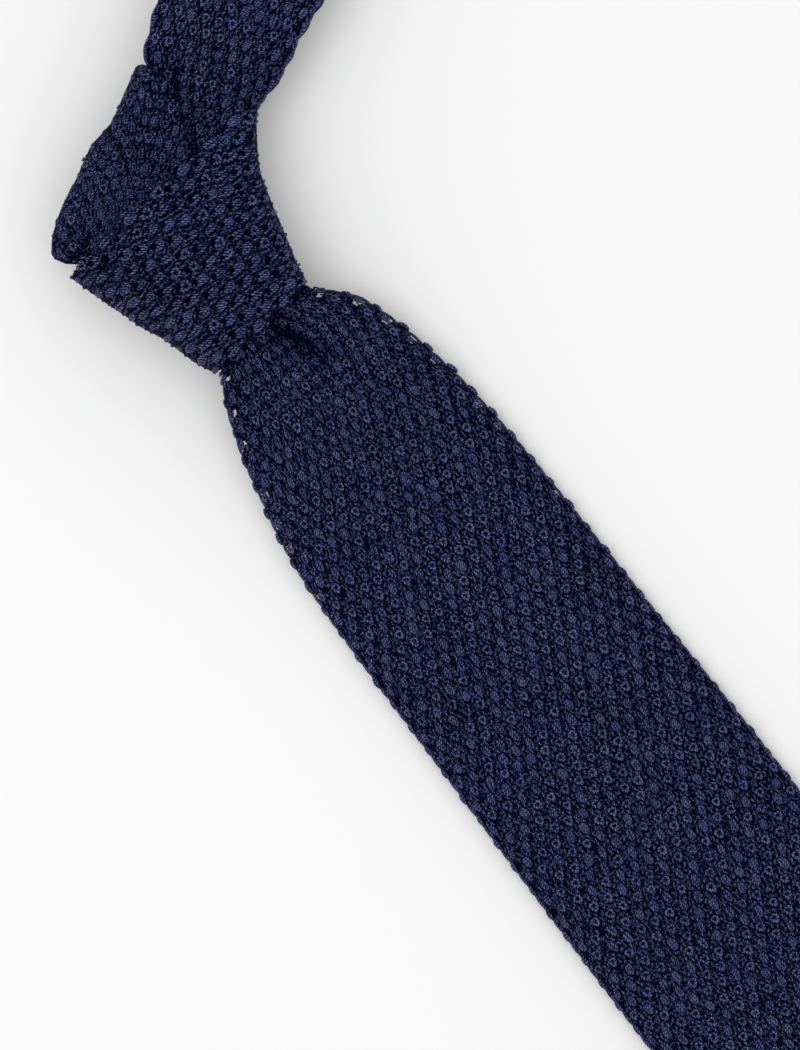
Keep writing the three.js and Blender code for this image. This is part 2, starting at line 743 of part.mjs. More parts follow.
/** Knitted silk in a shade of navy. */
function knitMaterial(color) {
  return new THREE.MeshStandardMaterial({ color, roughness: SILK_ROUGHNESS, metalness: 0 });
}

/** A named mesh from a geometry and a material. */
function piece(name, geometry, material) {
  const mesh = new THREE.Mesh(geometry, material);
  mesh.name = name;
  return mesh;
}

const tie = new THREE.Group();
tie.add(piece("front_blade", frontBlade(), knitMaterial(FRONT_NAVY)));
tie.add(piece("knot_wrap", knotWrap(), knitMaterial(KNOT_NAVY)));
tie.add(piece("neck_loop", neckLoop(), knitMaterial(FRONT_NAVY)));
tie.add(piece("tail_blade", tailBlade(), knitMaterial(BACK_NAVY)));

export default tie;
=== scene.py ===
# %% [markdown]
# # A tied knit tie, laid flat
# The tie is one long strip of knitted silk, tied in a knot. This lesson builds
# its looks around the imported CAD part: a smooth cloth for every strip, then the
# stitches that cover it, then the yarn's colour, the floor and the light.

import math

import bpy
import numpy as np
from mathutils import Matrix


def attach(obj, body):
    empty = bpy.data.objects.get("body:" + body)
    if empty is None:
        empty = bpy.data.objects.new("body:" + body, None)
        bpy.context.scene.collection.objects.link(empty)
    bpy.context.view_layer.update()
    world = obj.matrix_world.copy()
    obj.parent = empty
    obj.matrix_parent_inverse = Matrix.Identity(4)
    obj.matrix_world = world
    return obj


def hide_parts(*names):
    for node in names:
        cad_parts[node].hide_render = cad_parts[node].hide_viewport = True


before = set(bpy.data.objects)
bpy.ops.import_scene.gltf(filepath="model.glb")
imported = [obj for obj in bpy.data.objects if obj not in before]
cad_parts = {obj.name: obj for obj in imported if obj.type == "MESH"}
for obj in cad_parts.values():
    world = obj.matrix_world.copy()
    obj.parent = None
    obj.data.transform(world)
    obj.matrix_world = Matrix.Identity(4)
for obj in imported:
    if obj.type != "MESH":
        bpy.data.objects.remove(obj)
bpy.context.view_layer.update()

MM = 0.001
SEED = 7
rng = np.random.default_rng(SEED)

# %% [markdown]
# ## The camera
# The picture is taken straight from above, with the tie turned so that its
# blade runs to the lower right. A constraint could aim the camera, but one plain
# angle is enough here, and the tie itself stays straight in its frame. A long
# lens keeps both ends equally large.

# %% Camera
CAMERA_HEIGHT = 1.2
VIEW_HEIGHT = 0.2226
SENSOR = 36
NEAREST_SEEN = 0.01
view_centre = (-0.0032, -0.0684)
view_up = (0.6074, 0.7944)

camera_data = bpy.data.cameras.new("camera")
camera_data.sensor_fit = "VERTICAL"
camera_data.sensor_height = SENSOR
camera_data.lens = SENSOR * CAMERA_HEIGHT / VIEW_HEIGHT
camera_data.clip_start = NEAREST_SEEN
camera = bpy.data.objects.new("camera", camera_data)
camera.location = (*view_centre, CAMERA_HEIGHT)
camera.rotation_euler = (0, 0, -math.atan2(view_up[0], view_up[1]))
bpy.context.collection.objects.link(camera)
bpy.context.scene.camera = camera
bpy.context.scene.view_settings.view_transform = "Standard"
bpy.context.scene.view_settings.look = "None"
print("lens", round(camera_data.lens, 1), "mm")

# %% [markdown]
# ## Sizes of the cloth
# These are the sizes of the real tie in millimetres. They could be measured off
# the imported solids, but a named size says what it is and is easy to change. The
# strips are three millimetres thick, and the knot is as thick as the layers
# inside it.

# %% Sizes of the strips
KNIT = 3.0
CLEARANCE = 0.3
WRAP_CLEARANCE = 0.6
BLADE_WIDTH = 60
BLADE_LENGTH = 480
TAIL_WIDTH = 40
TAIL_LENGTH = 350
NECK_WIDTH = 38
NECK_REACH = 225
NECK_ANGLE = math.radians(34)
NECK_OPENING = 6
NECK_TURN = 6.9
print("blade", BLADE_WIDTH, "by", BLADE_LENGTH, "mm, tail", TAIL_WIDTH, "by", TAIL_LENGTH, "mm")

# %% Sizes of the knot
KNOT_HEIGHT = 36.4
KNOT_TOP_WIDTH = 55.2
KNOT_FOOT_WIDTH = 27.8
KNOT_TOP_TILT = 5.5
KNOT_FOOT_TILT = 7.4
BLADE_BUNCH = 5.5
TAIL_BUNCH = 4
FOOT_CROWN = 1.6
TOP_CROWN = 0.8
FRONT_ROUNDNESS = 2.4
BACK_ROUNDNESS = 3.2
BACK_FLATNESS = 1.08
FOOT_SPREAD = 0.84
KNOT_TOP_THICKNESS = 6 * KNIT + 4 * CLEARANCE + WRAP_CLEARANCE + TOP_CROWN
FOOT_FILLING = TAIL_BUNCH + CLEARANCE + BLADE_BUNCH + FOOT_CROWN
KNOT_FOOT_THICKNESS = 2 * KNIT + CLEARANCE + WRAP_CLEARANCE + FOOT_FILLING
print("knot thickness", round(KNOT_TOP_THICKNESS, 1), "mm")

# %% Sizes of the fold, the dimple and the crease
FOLD_TIGHT_END = 0.34
FOLD_LEFT = np.array((-0.493 * KNOT_TOP_WIDTH, 0.566 * KNOT_HEIGHT, 0))
FOLD_RIGHT = np.array((0.212 * KNOT_TOP_WIDTH, 1.176 * KNOT_HEIGHT, 0))
TUCK_LEFT = np.array((-0.24 * KNOT_TOP_WIDTH, 0.22 * KNOT_HEIGHT, 0))
TUCK_RIGHT = np.array((0.14 * KNOT_TOP_WIDTH, 0.22 * KNOT_HEIGHT, 0))
DIMPLE_DEPTH = 3.2
DIMPLE_WIDTH = 3.6
CREASE_DEPTH = 1.2
CREASE_WIDTH = 1.6
CREASE_START = np.array((0.234 * KNOT_TOP_WIDTH, 0.843 * KNOT_HEIGHT))
CREASE_END = np.array((0.33 * KNOT_TOP_WIDTH, 1.071 * KNOT_HEIGHT))
print("fold", round(float(np.linalg.norm(FOLD_RIGHT - FOLD_LEFT)), 1), "mm long")

# %% [markdown]
# ## How the strips widen
# Under the knot the cloth is gathered, and it opens over the next few
# centimetres. The outline could be one drawn curve, but a short table with a row
# for each place keeps the width, the lift and the thickness together.

# %% Knot and blade rows
# how the knot opens from its foot (up 0) to its upper rim (up 1)
KNOT_ROWS = dict(
    up=(0, 0.15, 0.35, 0.5, 0.65, 0.85, 1),
    open=(0, 0.124, 0.27, 0.41, 0.533, 0.78, 1),
    side=(-0.02, -0.033, -0.033, -0.042, -0.042, -0.022, 0.004),
)

# how the blade spreads, in shares of its width below the knot
BLADE_ROWS = dict(
    down=(0, 0.03, 0.075, 0.15, 0.3, 0.45, 0.6, 0.77, 1, 1.6, 2.4, 4),
    width=(0.41, 0.45, 0.54, 0.635, 0.74, 0.81, 0.868, 0.905, 0.93, 0.955, 0.985, 1),
    side=(-0.018, -0.014, -0.006, 0.008, 0.011, 0.012, 0.008, 0.005, 0.005, 0.008, 0.0125, 0.0125),
    lift=(1, 0.99, 0.96, 0.88, 0.62, 0.38, 0.22, 0.11, 0.02, 0, 0, 0),
    thick=(1, 0.8, 0.4, 0.1, 0, 0, 0, 0, 0, 0, 0, 0),
    dent=(0.6, 0.9, 1, 0.75, 0.2, 0, 0, 0, 0, 0, 0, 0),
)
print("the blade has", len(BLADE_ROWS["down"]), "rows")

# %% Tail, neck and fold rows
# how the tail spreads, in shares of its width below the knot
TAIL_ROWS = dict(
    down=(-0.55, 0, 0.1, 0.22, 0.45, 0.7, 1),
    width=(0.44, 0.455, 0.54, 0.64, 0.78, 0.93, 1),
    lift=(1.15, 1, 0.85, 0.6, 0.22, 0, 0),
    thick=(0.6, 1, 0.6, 0.2, 0, 0, 0),
)

# the two edges of the neck loop, in shares of its width from its own line
NECK_ROWS = dict(
    out=(0.02, 0.143, 0.16, 0.189, 0.218, 0.264, 0.4, 1),
    right=(0.07, 0.04, 0.0, -0.045, -0.065, -0.12, -0.17, -0.17),
    left=(0.6, 0.68, 0.735, 0.75, 0.76, 0.779, 0.847, 0.847),
)

# how far the fold above the knot bulges past its straight line, in millimetres
FOLD_ROWS = dict(
    share=(-1, -0.93, -0.8, -0.5, -0.2, 0.08, 0.25, 0.42, 1),
    bulge=(0.3, 1.2, 2.35, 2.85, 2.35, 2.3, 1.1, 0.1, 0),
)
print("the fold bulges", max(FOLD_ROWS["bulge"]), "mm at most")

# %% [markdown]
# ## Smooth curves through a few sizes
# Cloth has no corners, so every table is read through a smooth curve. A plain
# spline could swing past its rows and make a bulge that isn't there, so the
# curve's slopes are chosen to never overshoot. Soft steps and round hills do the
# rest of the shaping.


# %% Steps and hills
def between(start, end, share):
    return start + (end - start) * share


def soft_step(value, start, end):
    share = np.clip((value - start) / (end - start), 0, 1)
    return share * share * (3 - 2 * share)


def hill(offset, half_width):
    return np.exp(-((offset / half_width) ** 2))


def arch(share, roundness):
    return np.maximum(1 - np.abs(share) ** roundness, 0) ** (1 / roundness)


print("half way up a soft step:", soft_step(0.5, 0, 1))


# %% Curves through the tables
def column(table, name, place):
    """One column of a table, read smoothly at one place or at many."""
    key, value = (np.array(table[n], float) for n in (next(iter(table)), name))
    rise = np.diff(value) / np.diff(key)
    slope = np.zeros(len(key))
    before, after = rise[:-1], rise[1:]
    turns = before * after <= 0
    total = np.where(turns, 1, before + after)
    slope[1:-1] = np.where(turns, 0, 2 * before * after / total)
    slope[0], slope[-1] = rise[0], rise[-1]
    at = np.clip(place, key[0], key[-1])
    row = np.clip(np.searchsorted(key, at, side="right") - 1, 0, len(key) - 2)
    span = key[row + 1] - key[row]
    t = (at - key[row]) / span
    start = value[row] * (2 * t**3 - 3 * t**2 + 1)
    end = value[row + 1] * (3 * t**2 - 2 * t**3)
    bend = slope[row] * (t**3 - 2 * t**2 + t) + slope[row + 1] * (t**3 - t**2)
    return start + end + bend * span


spread = float(column(BLADE_ROWS, "width", 1)) * BLADE_WIDTH
print("blade width 60 mm below the knot:", round(spread, 1))

# %% [markdown]
# ## A strip of cloth
# Each strip is a grid of points in the middle of the cloth, with a little
# thickness to both sides and round edges. It could be a flat plane with a
# solidify modifier, but then its edges and its bunched part would be as thick
# as the rest, so the thickness is set point by point.

# %% A closed mesh round a grid
TINY = 1e-9


def normals(grid):
    """The direction out of a grid of points at each of them."""
    along = np.gradient(grid, axis=0)
    across = np.gradient(grid, axis=1)
    out = np.cross(across, along)
    return out / np.maximum(np.linalg.norm(out, axis=2, keepdims=True), TINY)


def shown(name, points, faces):
    """A smooth object from points in millimetres and faces."""
    mesh = bpy.data.meshes.new(name)
    mesh.from_pydata((points * MM).tolist(), [], faces)
    mesh.shade_smooth()
    piece = bpy.data.objects.new(name, mesh)
    bpy.context.collection.objects.link(piece)
    return piece


def cloth_mesh(name, grid, above, below):
    """A closed piece round a grid of middle points."""
    out = normals(grid)
    top = grid + out * above[..., None]
    bottom = (grid - out * below[..., None])[:, 1:-1]
    ring = np.concatenate([top, bottom[:, ::-1]], axis=1)
    rows, size = ring.shape[:2]
    faces = []
    for row in range(rows - 1):
        for i in range(size):
            a, b = row * size + i, row * size + (i + 1) % size
            faces.append((a, b, b + size, a + size))
    faces.append(tuple(range(size))[::-1])
    faces.append(tuple((rows - 1) * size + i for i in range(size)))
    piece = shown(name, ring.reshape(-1, 3), faces)
    print(name, "has", len(faces), "faces")
    return piece


# %% Round edges
# where the points of a strip's round edge lie, as shares of that edge
EDGE_STEPS = (0, 0.15, 0.45)
FLAT_POINTS = 27


def edge_round(shares, edge_share):
    beyond = np.maximum(np.abs(shares) - (1 - edge_share), 0) / edge_share
    return np.sqrt(np.maximum(1 - beyond**2, 0))


def shares_across(edge_share):
    edge = 1 - edge_share * np.array(EDGE_STEPS)
    flat = np.linspace(-1 + edge_share, 1 - edge_share, FLAT_POINTS)
    return np.concatenate([-edge, flat, edge[::-1]])


def print_box(piece):
    points = np.array([v.co for v in piece.data.vertices]) / MM
    print(piece.name, "from", points.min(0).round(1), "to", points.max(0).round(1), "mm")


# %% [markdown]
# ## The knot's section
# The knot is a tapered sleeve. Its front is rounder than its back, because it
# lies on its back. A scaled circle would make both equally round, so the section
# is a rounded square whose roundness differs front and back. Everything inside
# stays below its inner face.

# %% Knot section
# from this share of its height on the knot has its full thickness
FULL_THICKNESS_UP = 0.6


def layer(number):
    return KNIT / 2 + number * (KNIT + CLEARANCE)


FRONT_LAYER = KNOT_TOP_THICKNESS - KNIT - WRAP_CLEARANCE - KNIT / 2


def knot_section(up):
    share = np.clip(up, 0, 1)
    width = between(KNOT_FOOT_WIDTH, KNOT_TOP_WIDTH, column(KNOT_ROWS, "open", share))
    fullness = soft_step(share, 0, FULL_THICKNESS_UP)
    thickness = between(KNOT_FOOT_THICKNESS, KNOT_TOP_THICKNESS, fullness)
    tilt = between(KNOT_FOOT_TILT, KNOT_TOP_TILT, share)
    return dict(
        x=column(KNOT_ROWS, "side", share) * KNOT_TOP_WIDTH,
        y=(up - 0.5) * KNOT_HEIGHT,
        half_width=width / 2,
        half_thickness=thickness / 2,
        lean=np.tan(np.radians(tilt)),
    )


print("the front layer lies", round(FRONT_LAYER, 1), "mm up")


# %% Inside and outside of the wrap
def under_wrap(section, x, thickness):
    """The height of a cloth that lies against the inside of the wrap."""
    inset = KNIT + WRAP_CLEARANCE + thickness / 2
    rise = section["half_thickness"] - inset
    share = (x - section["x"]) / (section["half_width"] - inset)
    return section["half_thickness"] + rise * arch(share, FRONT_ROUNDNESS)


def wrap_point(up, depth, angle):
    """A point of the wrap's wall, at a depth under its outer face."""
    section = knot_section(up)
    cosine, sine = np.cos(angle), np.sin(angle)
    front = sine >= 0
    power = 2 / np.where(front, FRONT_ROUNDNESS, BACK_ROUNDNESS)
    x = (section["half_width"] - depth) * np.sign(cosine) * np.abs(cosine) ** power
    rise = (section["half_thickness"] - depth) * np.abs(sine) ** power
    z = section["half_thickness"] + np.where(front, rise, -rise * BACK_FLATNESS)
    y = section["y"] + x * section["lean"]
    return np.stack(np.broadcast_arrays(section["x"] + x, y, np.maximum(z, depth)), axis=-1)


# %% [markdown]
# ## The blade's strip
# The blade comes out of the knot bunched, with a dimple under it, lies over the
# tail and falls to the surface past it. Upwards it runs through the knot, turns
# over the fold at the top and goes back in. A cloth simulation could find such a
# shape, but it would never land on the photo's, so the rows are worked out.


# %% Blade and tail sections
def tail_section(down):
    place = down / TAIL_WIDTH
    foot = KNIT + CLEARANCE + TAIL_BUNCH / 2
    return dict(
        half_width=column(TAIL_ROWS, "width", place) * TAIL_WIDTH / 2,
        x=column(BLADE_ROWS, "side", down / BLADE_WIDTH) * BLADE_WIDTH,
        z=between(KNIT / 2, foot, column(TAIL_ROWS, "lift", place)),
        thickness=between(KNIT, TAIL_BUNCH, column(TAIL_ROWS, "thick", place)),
    )


def blade_section(down):
    place = down / BLADE_WIDTH
    foot = KNOT_FOOT_THICKNESS - KNIT - WRAP_CLEARANCE - BLADE_BUNCH / 2
    over_tail = KNIT + CLEARANCE + KNIT / 2
    past_tail = soft_step(down, TAIL_LENGTH + CLEARANCE + KNIT / 2, TAIL_LENGTH + BLADE_WIDTH / 2)
    lift = column(BLADE_ROWS, "lift", place)
    return dict(
        lift=lift,
        half_width=column(BLADE_ROWS, "width", place) * BLADE_WIDTH / 2,
        x=column(BLADE_ROWS, "side", place) * BLADE_WIDTH,
        z=between(between(over_tail, foot, lift), KNIT / 2, past_tail),
        thickness=between(KNIT, BLADE_BUNCH, column(BLADE_ROWS, "thick", place)),
        dent=column(BLADE_ROWS, "dent", place) * DIMPLE_DEPTH,
        tilt=math.tan(math.radians(KNOT_FOOT_TILT)) * lift,
    )


print("the blade leaves the knot", round(float(blade_section(0)["z"]), 1), "mm up")

# %% One row of the blade
# the edges fall from this share of the half width on, less so near the knot
FALL_START = 0.85
FOOT_STIFFNESS = 0.65
# the dimple's valley: where it starts, how it slants, and how it shows below
DIMPLE_START = 0.011
DIMPLE_SLOPE = 0.42
DIMPLE_BULGE = 0.3
FULL_DENT_HALF = 1


def dimple_line(down):
    """Where the dimple's valley runs across the blade."""
    return DIMPLE_START * BLADE_WIDTH + DIMPLE_SLOPE * down


def blade_row(down, shares, insets=(0, 0)):
    """Middle points of the blade's cloth, and its half thicknesses."""
    section = blade_section(down)
    width = section["half_width"]
    left, right = insets
    x = between(left - width, width - right, (shares + 1) / 2)
    over_tail = tail_section(down)["half_width"] + CLEARANCE + KNIT / 2
    start = min(over_tail, FALL_START * width)
    fall = soft_step(np.abs(x), start, width) * (1 - FOOT_STIFFNESS * section["lift"])
    rise = KNOT_FOOT_THICKNESS / 2 - KNIT - WRAP_CLEARANCE - BLADE_BUNCH / 2
    crown = section["lift"] * rise * (1 - arch(FOOT_SPREAD * x / width, FRONT_ROUNDNESS))
    z = between(section["z"] - crown, KNIT / 2, fall)
    y = -KNOT_HEIGHT / 2 - down + x * section["tilt"]
    row = np.stack([section["x"] + x, y, z], axis=-1)
    dent = section["dent"] * hill(row[:, 0] - dimple_line(down), DIMPLE_WIDTH)
    half_thickness = section["thickness"] / 2
    half = half_thickness * edge_round(shares, half_thickness / width)
    above = half - dent * np.minimum(half, FULL_DENT_HALF)
    below = half + DIMPLE_BULGE * dent * np.minimum(half, FULL_DENT_HALF)
    return row, above, below


print("dimple depth at the knot:", round(float(blade_section(0)["dent"]), 1), "mm")

# %% The blade's strip inside the knot and over the fold
# the strip's two edges at the knot's upper rim, as shares of the room there
RIM_LEFT = -0.94
RIM_RIGHT = 0.42
# to this share across the fold opens from its tight left end
FOLD_OPEN_FROM = -0.4


def hidden_row(up, shares, thickness):
    """The blade's strip inside the knot, at a share of the knot's height."""
    section = knot_section(up)
    inset = KNIT + WRAP_CLEARANCE + thickness / 2
    left = between(-FOOT_SPREAD, RIM_LEFT, up)
    right = between(FOOT_SPREAD, RIM_RIGHT, up)
    x = (section["half_width"] - inset) * between(left, right, (shares + 1) / 2)
    z = under_wrap(section, section["x"] + x, thickness)
    return np.stack([section["x"] + x, section["y"] + x * section["lean"], z], axis=-1)


def fold_row(angle, shares):
    """The strip turned by an angle over the fold's crest."""
    full = (FRONT_LAYER - layer(1)) / 2
    radius = full * between(FOLD_TIGHT_END, 1, soft_step(shares, -1, FOLD_OPEN_FROM))
    line = (FOLD_RIGHT - FOLD_LEFT) / np.linalg.norm(FOLD_RIGHT - FOLD_LEFT)
    outward = np.array((-line[1], line[0], 0))
    crest = FOLD_LEFT + (FOLD_RIGHT - FOLD_LEFT) * (shares[:, None] + 1) / 2
    bulge = column(FOLD_ROWS, "bulge", shares)
    row = crest + outward * (bulge - KNIT / 2 - radius * (1 - math.sin(angle)))[:, None]
    row[:, 2] = (FRONT_LAYER + layer(1)) / 2 + radius * math.cos(angle)
    return row


print("the fold is", round(FRONT_LAYER - layer(1), 1), "mm high")

# %% [markdown]
# ## The neck loop
# The neck loop leaves the knot up and to the right, goes round the back of the
# neck and comes back below itself, with room for a neck between its two legs.
# One leg could be a copy of the other, but they leave the knot in different
# layers, so each has its own height.

# %% Neck line and edges
NECK_ALONG = np.array((math.cos(NECK_ANGLE), math.sin(NECK_ANGLE), 0))
NECK_ACROSS = np.array((math.sin(NECK_ANGLE), -math.cos(NECK_ANGLE), 0))
TURN_START = NECK_REACH - NECK_TURN - KNIT / 2


def neck_place(out, shares):
    left = column(NECK_ROWS, "left", out / NECK_REACH) * NECK_WIDTH
    right = column(NECK_ROWS, "right", out / NECK_REACH) * NECK_WIDTH
    side = -between(left, right, (shares + 1) / 2)
    return NECK_ALONG * out + NECK_ACROSS * side[:, None]


print("the neck loop turns", round(TURN_START, 1), "mm from the knot")

# %% The two legs of the neck loop
# where along the reach the upper leg opens and rises and the lower one lands
UPPER_OPENS = (0.17, 0.4)
UPPER_RISES = 0.62
LOWER_LANDS = (0.15, 0.33)
# how much the cloth puffs up beside the fold, in its own thicknesses
NECK_PUFF = 0.6
# over these heights of the knot the leg comes free of the wrap
RIM_FREE = (1.02, 1.2)


def upper_leg(out, place):
    open_height = KNIT * 1.5 + NECK_OPENING
    turn = KNIT / 2 + 2 * NECK_TURN
    opens, opened = (share * NECK_REACH for share in UPPER_OPENS)
    far_out = soft_step(out, opens, opened)
    at_turn = soft_step(out, UPPER_RISES * NECK_REACH, TURN_START)
    fold_end = FOLD_RIGHT[0] + KNIT / 2 + 2 * CLEARANCE
    beside = soft_step(place[:, 0], fold_end, fold_end + 2 * KNIT)
    puffed = layer(3) + beside * NECK_PUFF * KNIT
    free = between(between(puffed, open_height, far_out), turn, at_turn)
    lean = knot_section(1)["lean"]
    up = (place[:, 1] - place[:, 0] * lean) / KNOT_HEIGHT + 0.5
    room = under_wrap(knot_section(up), place[:, 0], KNIT)
    limit = room - (1 - beside) * (KNIT + CLEARANCE)
    return np.minimum(free, between(limit, free, soft_step(up, *RIM_FREE)))


def lower_leg(out, place):
    leaves, lands = (share * NECK_REACH for share in LOWER_LANDS)
    in_knot = np.minimum(layer(2), upper_leg(out, place) - KNIT - CLEARANCE)
    return between(in_knot, KNIT / 2, soft_step(out, leaves, lands))


def crease_at(place):
    """How deep the crease beside the knot is at a place."""
    line = CREASE_END - CREASE_START
    share = np.clip((place[:, :2] - CREASE_START) @ line / (line @ line), 0, 1)
    far = np.linalg.norm(place[:, :2] - CREASE_START - share[:, None] * line, axis=1)
    return CREASE_DEPTH * hill(far, CREASE_WIDTH)


# %% [markdown]
# ## The blade's smooth cloth and its pinholes
# Under the stitches lies a smooth cloth, a little thinner than the real one, so
# that the stitches reach the real surface. It closes the gaps between them. Near
# the knot the real knit is stretched at its edges and shows small pinholes.
# Holes could be cut with a Boolean, but it is simpler to let the smooth cloth
# stay a little further inside wherever a pinhole is.

# %% Where the blade's cloth has rows
# how far the smooth cloth lies under the real surface
SKIN = 0.55
# the outer share of a strip's half width where its points lie closer together
EDGE_SPREAD = 0.05
fine = shares_across(EDGE_SPREAD)
END_ROWS = [BLADE_LENGTH - 0.6, BLADE_LENGTH - 1.4]
# the rows lie closer together near the knot
COARSE_UNTIL, MEDIUM_UNTIL = 84, 52
blade_downs = np.concatenate([
    END_ROWS,
    np.arange(BLADE_LENGTH - 4, COARSE_UNTIL, -4.0),
    np.arange(COARSE_UNTIL, MEDIUM_UNTIL, -1.0),
    np.arange(MEDIUM_UNTIL, -0.1, -0.5),
])
print("rows below the knot:", len(blade_downs))

# %% Pinholes
EDGE_INSET = 0.7
PINHOLE_INSET = 2.4
# half a pinhole's length, as a share of a stitch
PINHOLE_HALF = 0.125
PINHOLE_LENGTH = 6.15
# which gaps beside the edge stitches let the ground show, counted from the knot
PINHOLES_LEFT = (0, 1, 2, 4, 5, 6, 8)
PINHOLES_RIGHT = (0, 1, 2, 3, 4, 6, 7, 10)
FIRST_GAP_LEFT = 2.58
FIRST_GAP_RIGHT = 3.57


def edge_insets(down):
    """How far the smooth cloth stays inside the blade's two edges."""
    made = []
    for open_gaps, first in ((PINHOLES_LEFT, FIRST_GAP_LEFT), (PINHOLES_RIGHT, FIRST_GAP_RIGHT)):
        gap = (down - first) / PINHOLE_LENGTH
        opened = round(gap) in open_gaps and abs(gap - round(gap)) < PINHOLE_HALF
        made.append(PINHOLE_INSET if opened else EDGE_INSET)
    return made


print("pinholes:", len(PINHOLES_LEFT), "at the left and", len(PINHOLES_RIGHT), "at the right")

# %% The blade's cloth
STRIP_EDGE = 0.054
HIDDEN_STEPS = 17
TURN_STEPS = 12
JOIN_STEPS = 6


def hidden_rows():
    """The strip's rows inside the knot and their half thicknesses."""
    rows, halves = [], []
    for up in np.linspace(0, 1, HIDDEN_STEPS)[1:]:
        thickness = between(BLADE_BUNCH, KNIT, soft_step(up, 0, FULL_THICKNESS_UP))
        rows.append(hidden_row(up, fine, thickness))
        halves.append(thickness / 2 * edge_round(fine, STRIP_EDGE))
    return rows, halves


def turned_rows(last_row):
    """The strip's rows from the knot's rim over the fold and back in."""
    over = [fold_row(math.pi * step / TURN_STEPS, fine) for step in range(TURN_STEPS + 1)]
    tucked = TUCK_LEFT + (TUCK_RIGHT - TUCK_LEFT) * (fine[:, None] + 1) / 2
    tucked[:, 2] = layer(1)
    up_to_fold = [between(last_row, over[0], step / JOIN_STEPS) for step in range(1, JOIN_STEPS)]
    back_in = [between(over[-1], tucked, step / JOIN_STEPS) for step in range(1, JOIN_STEPS + 1)]
    return up_to_fold + over + back_in


def blade_cloth(insets, skin):
    """Grid, above and below of the blade's whole strip, fold included."""
    made = [blade_row(down, fine, insets(down)) for down in blade_downs]
    rows, above, below = (list(part) for part in zip(*made))
    inside, halves = hidden_rows()
    turned = turned_rows(inside[-1])
    halves += [KNIT / 2 * edge_round(fine, STRIP_EDGE)] * len(turned)
    above, below = np.array(above + halves), np.array(below + halves)
    skins = np.minimum((above + below) / 2, skin)
    return np.array(rows + inside + turned), above - skins, below - skins


blade_grid, blade_above, blade_below = blade_cloth(edge_insets, SKIN)
cloth_blade = cloth_mesh("blade_cloth", blade_grid, blade_above, blade_below)
print_box(cloth_blade)

# %% [markdown]
# ## The tail's and the neck loop's smooth cloths
# The tail hides behind the blade, and the neck loop is one strip that turns at
# the back of the neck. The turn could be made with a Simple Deform modifier, but
# as rows of a grid it meets both legs without a seam.

# %% The tail's cloth
tail_end_row = [TAIL_LENGTH - 0.6]
tail_downs = np.arange(TAIL_LENGTH - 4, -TAIL_WIDTH * 0.55, -3.0)


def tail_half_thickness(section):
    half = section["thickness"] / 2
    return half * edge_round(fine, half / section["half_width"])


tail_rows, tail_half = [], []
for down in np.concatenate([tail_end_row, tail_downs]):
    section = tail_section(down)
    x = section["x"] + (section["half_width"] - EDGE_INSET) * fine
    row = np.broadcast_arrays(x, -KNOT_HEIGHT / 2 - down, section["z"])
    tail_rows.append(np.stack(row, axis=-1))
    tail_half.append(tail_half_thickness(section))
tail_half = np.maximum(np.array(tail_half) - SKIN, 0)
cloth_tail = cloth_mesh("tail_cloth", np.array(tail_rows, float), tail_half, tail_half)
print_box(cloth_tail)

# %% The neck loop's cloth
neck_outs = np.concatenate([
    np.arange(0.02, 0.12, 0.012),
    np.arange(0.12, 0.3, 0.006),
    np.arange(0.3, 0.9, 0.02),
])
neck_outs = np.append(neck_outs * NECK_REACH, TURN_START)
neck_outs = neck_outs[neck_outs <= TURN_START]
turn_angles = np.linspace(0, math.pi, TURN_STEPS + 1)[1:-1]


def neck_cloth(inset):
    """Grid, above and below of the neck loop."""
    shares = fine * (1 - inset / (NECK_WIDTH / 2))
    rows, creases = [], []
    for out in neck_outs:
        place = neck_place(out, shares)
        creases.append(crease_at(place))
        place[:, 2] = upper_leg(out, place)
        rows.append(place)
    for angle in turn_angles:
        place = neck_place(TURN_START + NECK_TURN * math.sin(angle), shares)
        place[:, 2] = KNIT / 2 + NECK_TURN * (1 + math.cos(angle))
        rows.append(place)
    for out in neck_outs[::-1]:
        place = neck_place(out, shares)
        place[:, 2] = lower_leg(out, place)
        rows.append(place)
    creases += [np.zeros(len(fine))] * (len(rows) - len(creases))
    half = KNIT / 2 * edge_round(fine, KNIT / NECK_WIDTH)
    above = half - np.array(creases) * np.minimum(half, FULL_DENT_HALF)
    return np.array(rows), above, np.tile(half, (len(rows), 1))


neck_grid, neck_above, neck_below = neck_cloth(EDGE_INSET)
neck_halves = (np.maximum(half - SKIN, 0) for half in (neck_above, neck_below))
cloth_neck = cloth_mesh("neck_cloth", neck_grid, *neck_halves)
print_box(cloth_neck)

# %% [markdown]
# ## The knot's smooth cloth
# The wrap is a sleeve with an outer and an inner wall. A cylinder with a
# Solidify modifier would do, but its section isn't round, so the rings of points
# are taken from the knot's own section and joined into one closed skin.

# %% The knot's cloth
SLEEVE_ROWS = 25
SLEEVE_POINTS = 120
# how near the walls and the round rims come to the knot's foot and top
WALL_ENDS = (0.025, 0.975)
RIM_ENDS = (0.012, 0.988)
ups = np.linspace(*WALL_ENDS, SLEEVE_ROWS)
angles = np.linspace(0, 2 * math.pi, SLEEVE_POINTS + 1)[:-1]
outer = [wrap_point(up, SKIN, angles) for up in ups]
inner = [wrap_point(up, KNIT, angles) for up in ups[::-1]]
foot_rim, top_rim = ([wrap_point(up, KNIT / 2, angles)] for up in RIM_ENDS)
profile = np.array(outer + top_rim + inner + foot_rim)
count, around = profile.shape[:2]
faces = []
for row in range(count):
    following = (row + 1) % count
    for i in range(around):
        j = (i + 1) % around
        near = (row * around + i, row * around + j)
        far = (following * around + j, following * around + i)
        faces.append(near + far)
cloth_knot = shown("knot_cloth", profile.reshape(-1, 3), faces)
cloths = [cloth_blade, cloth_tail, cloth_neck, cloth_knot]
print_box(cloth_knot)

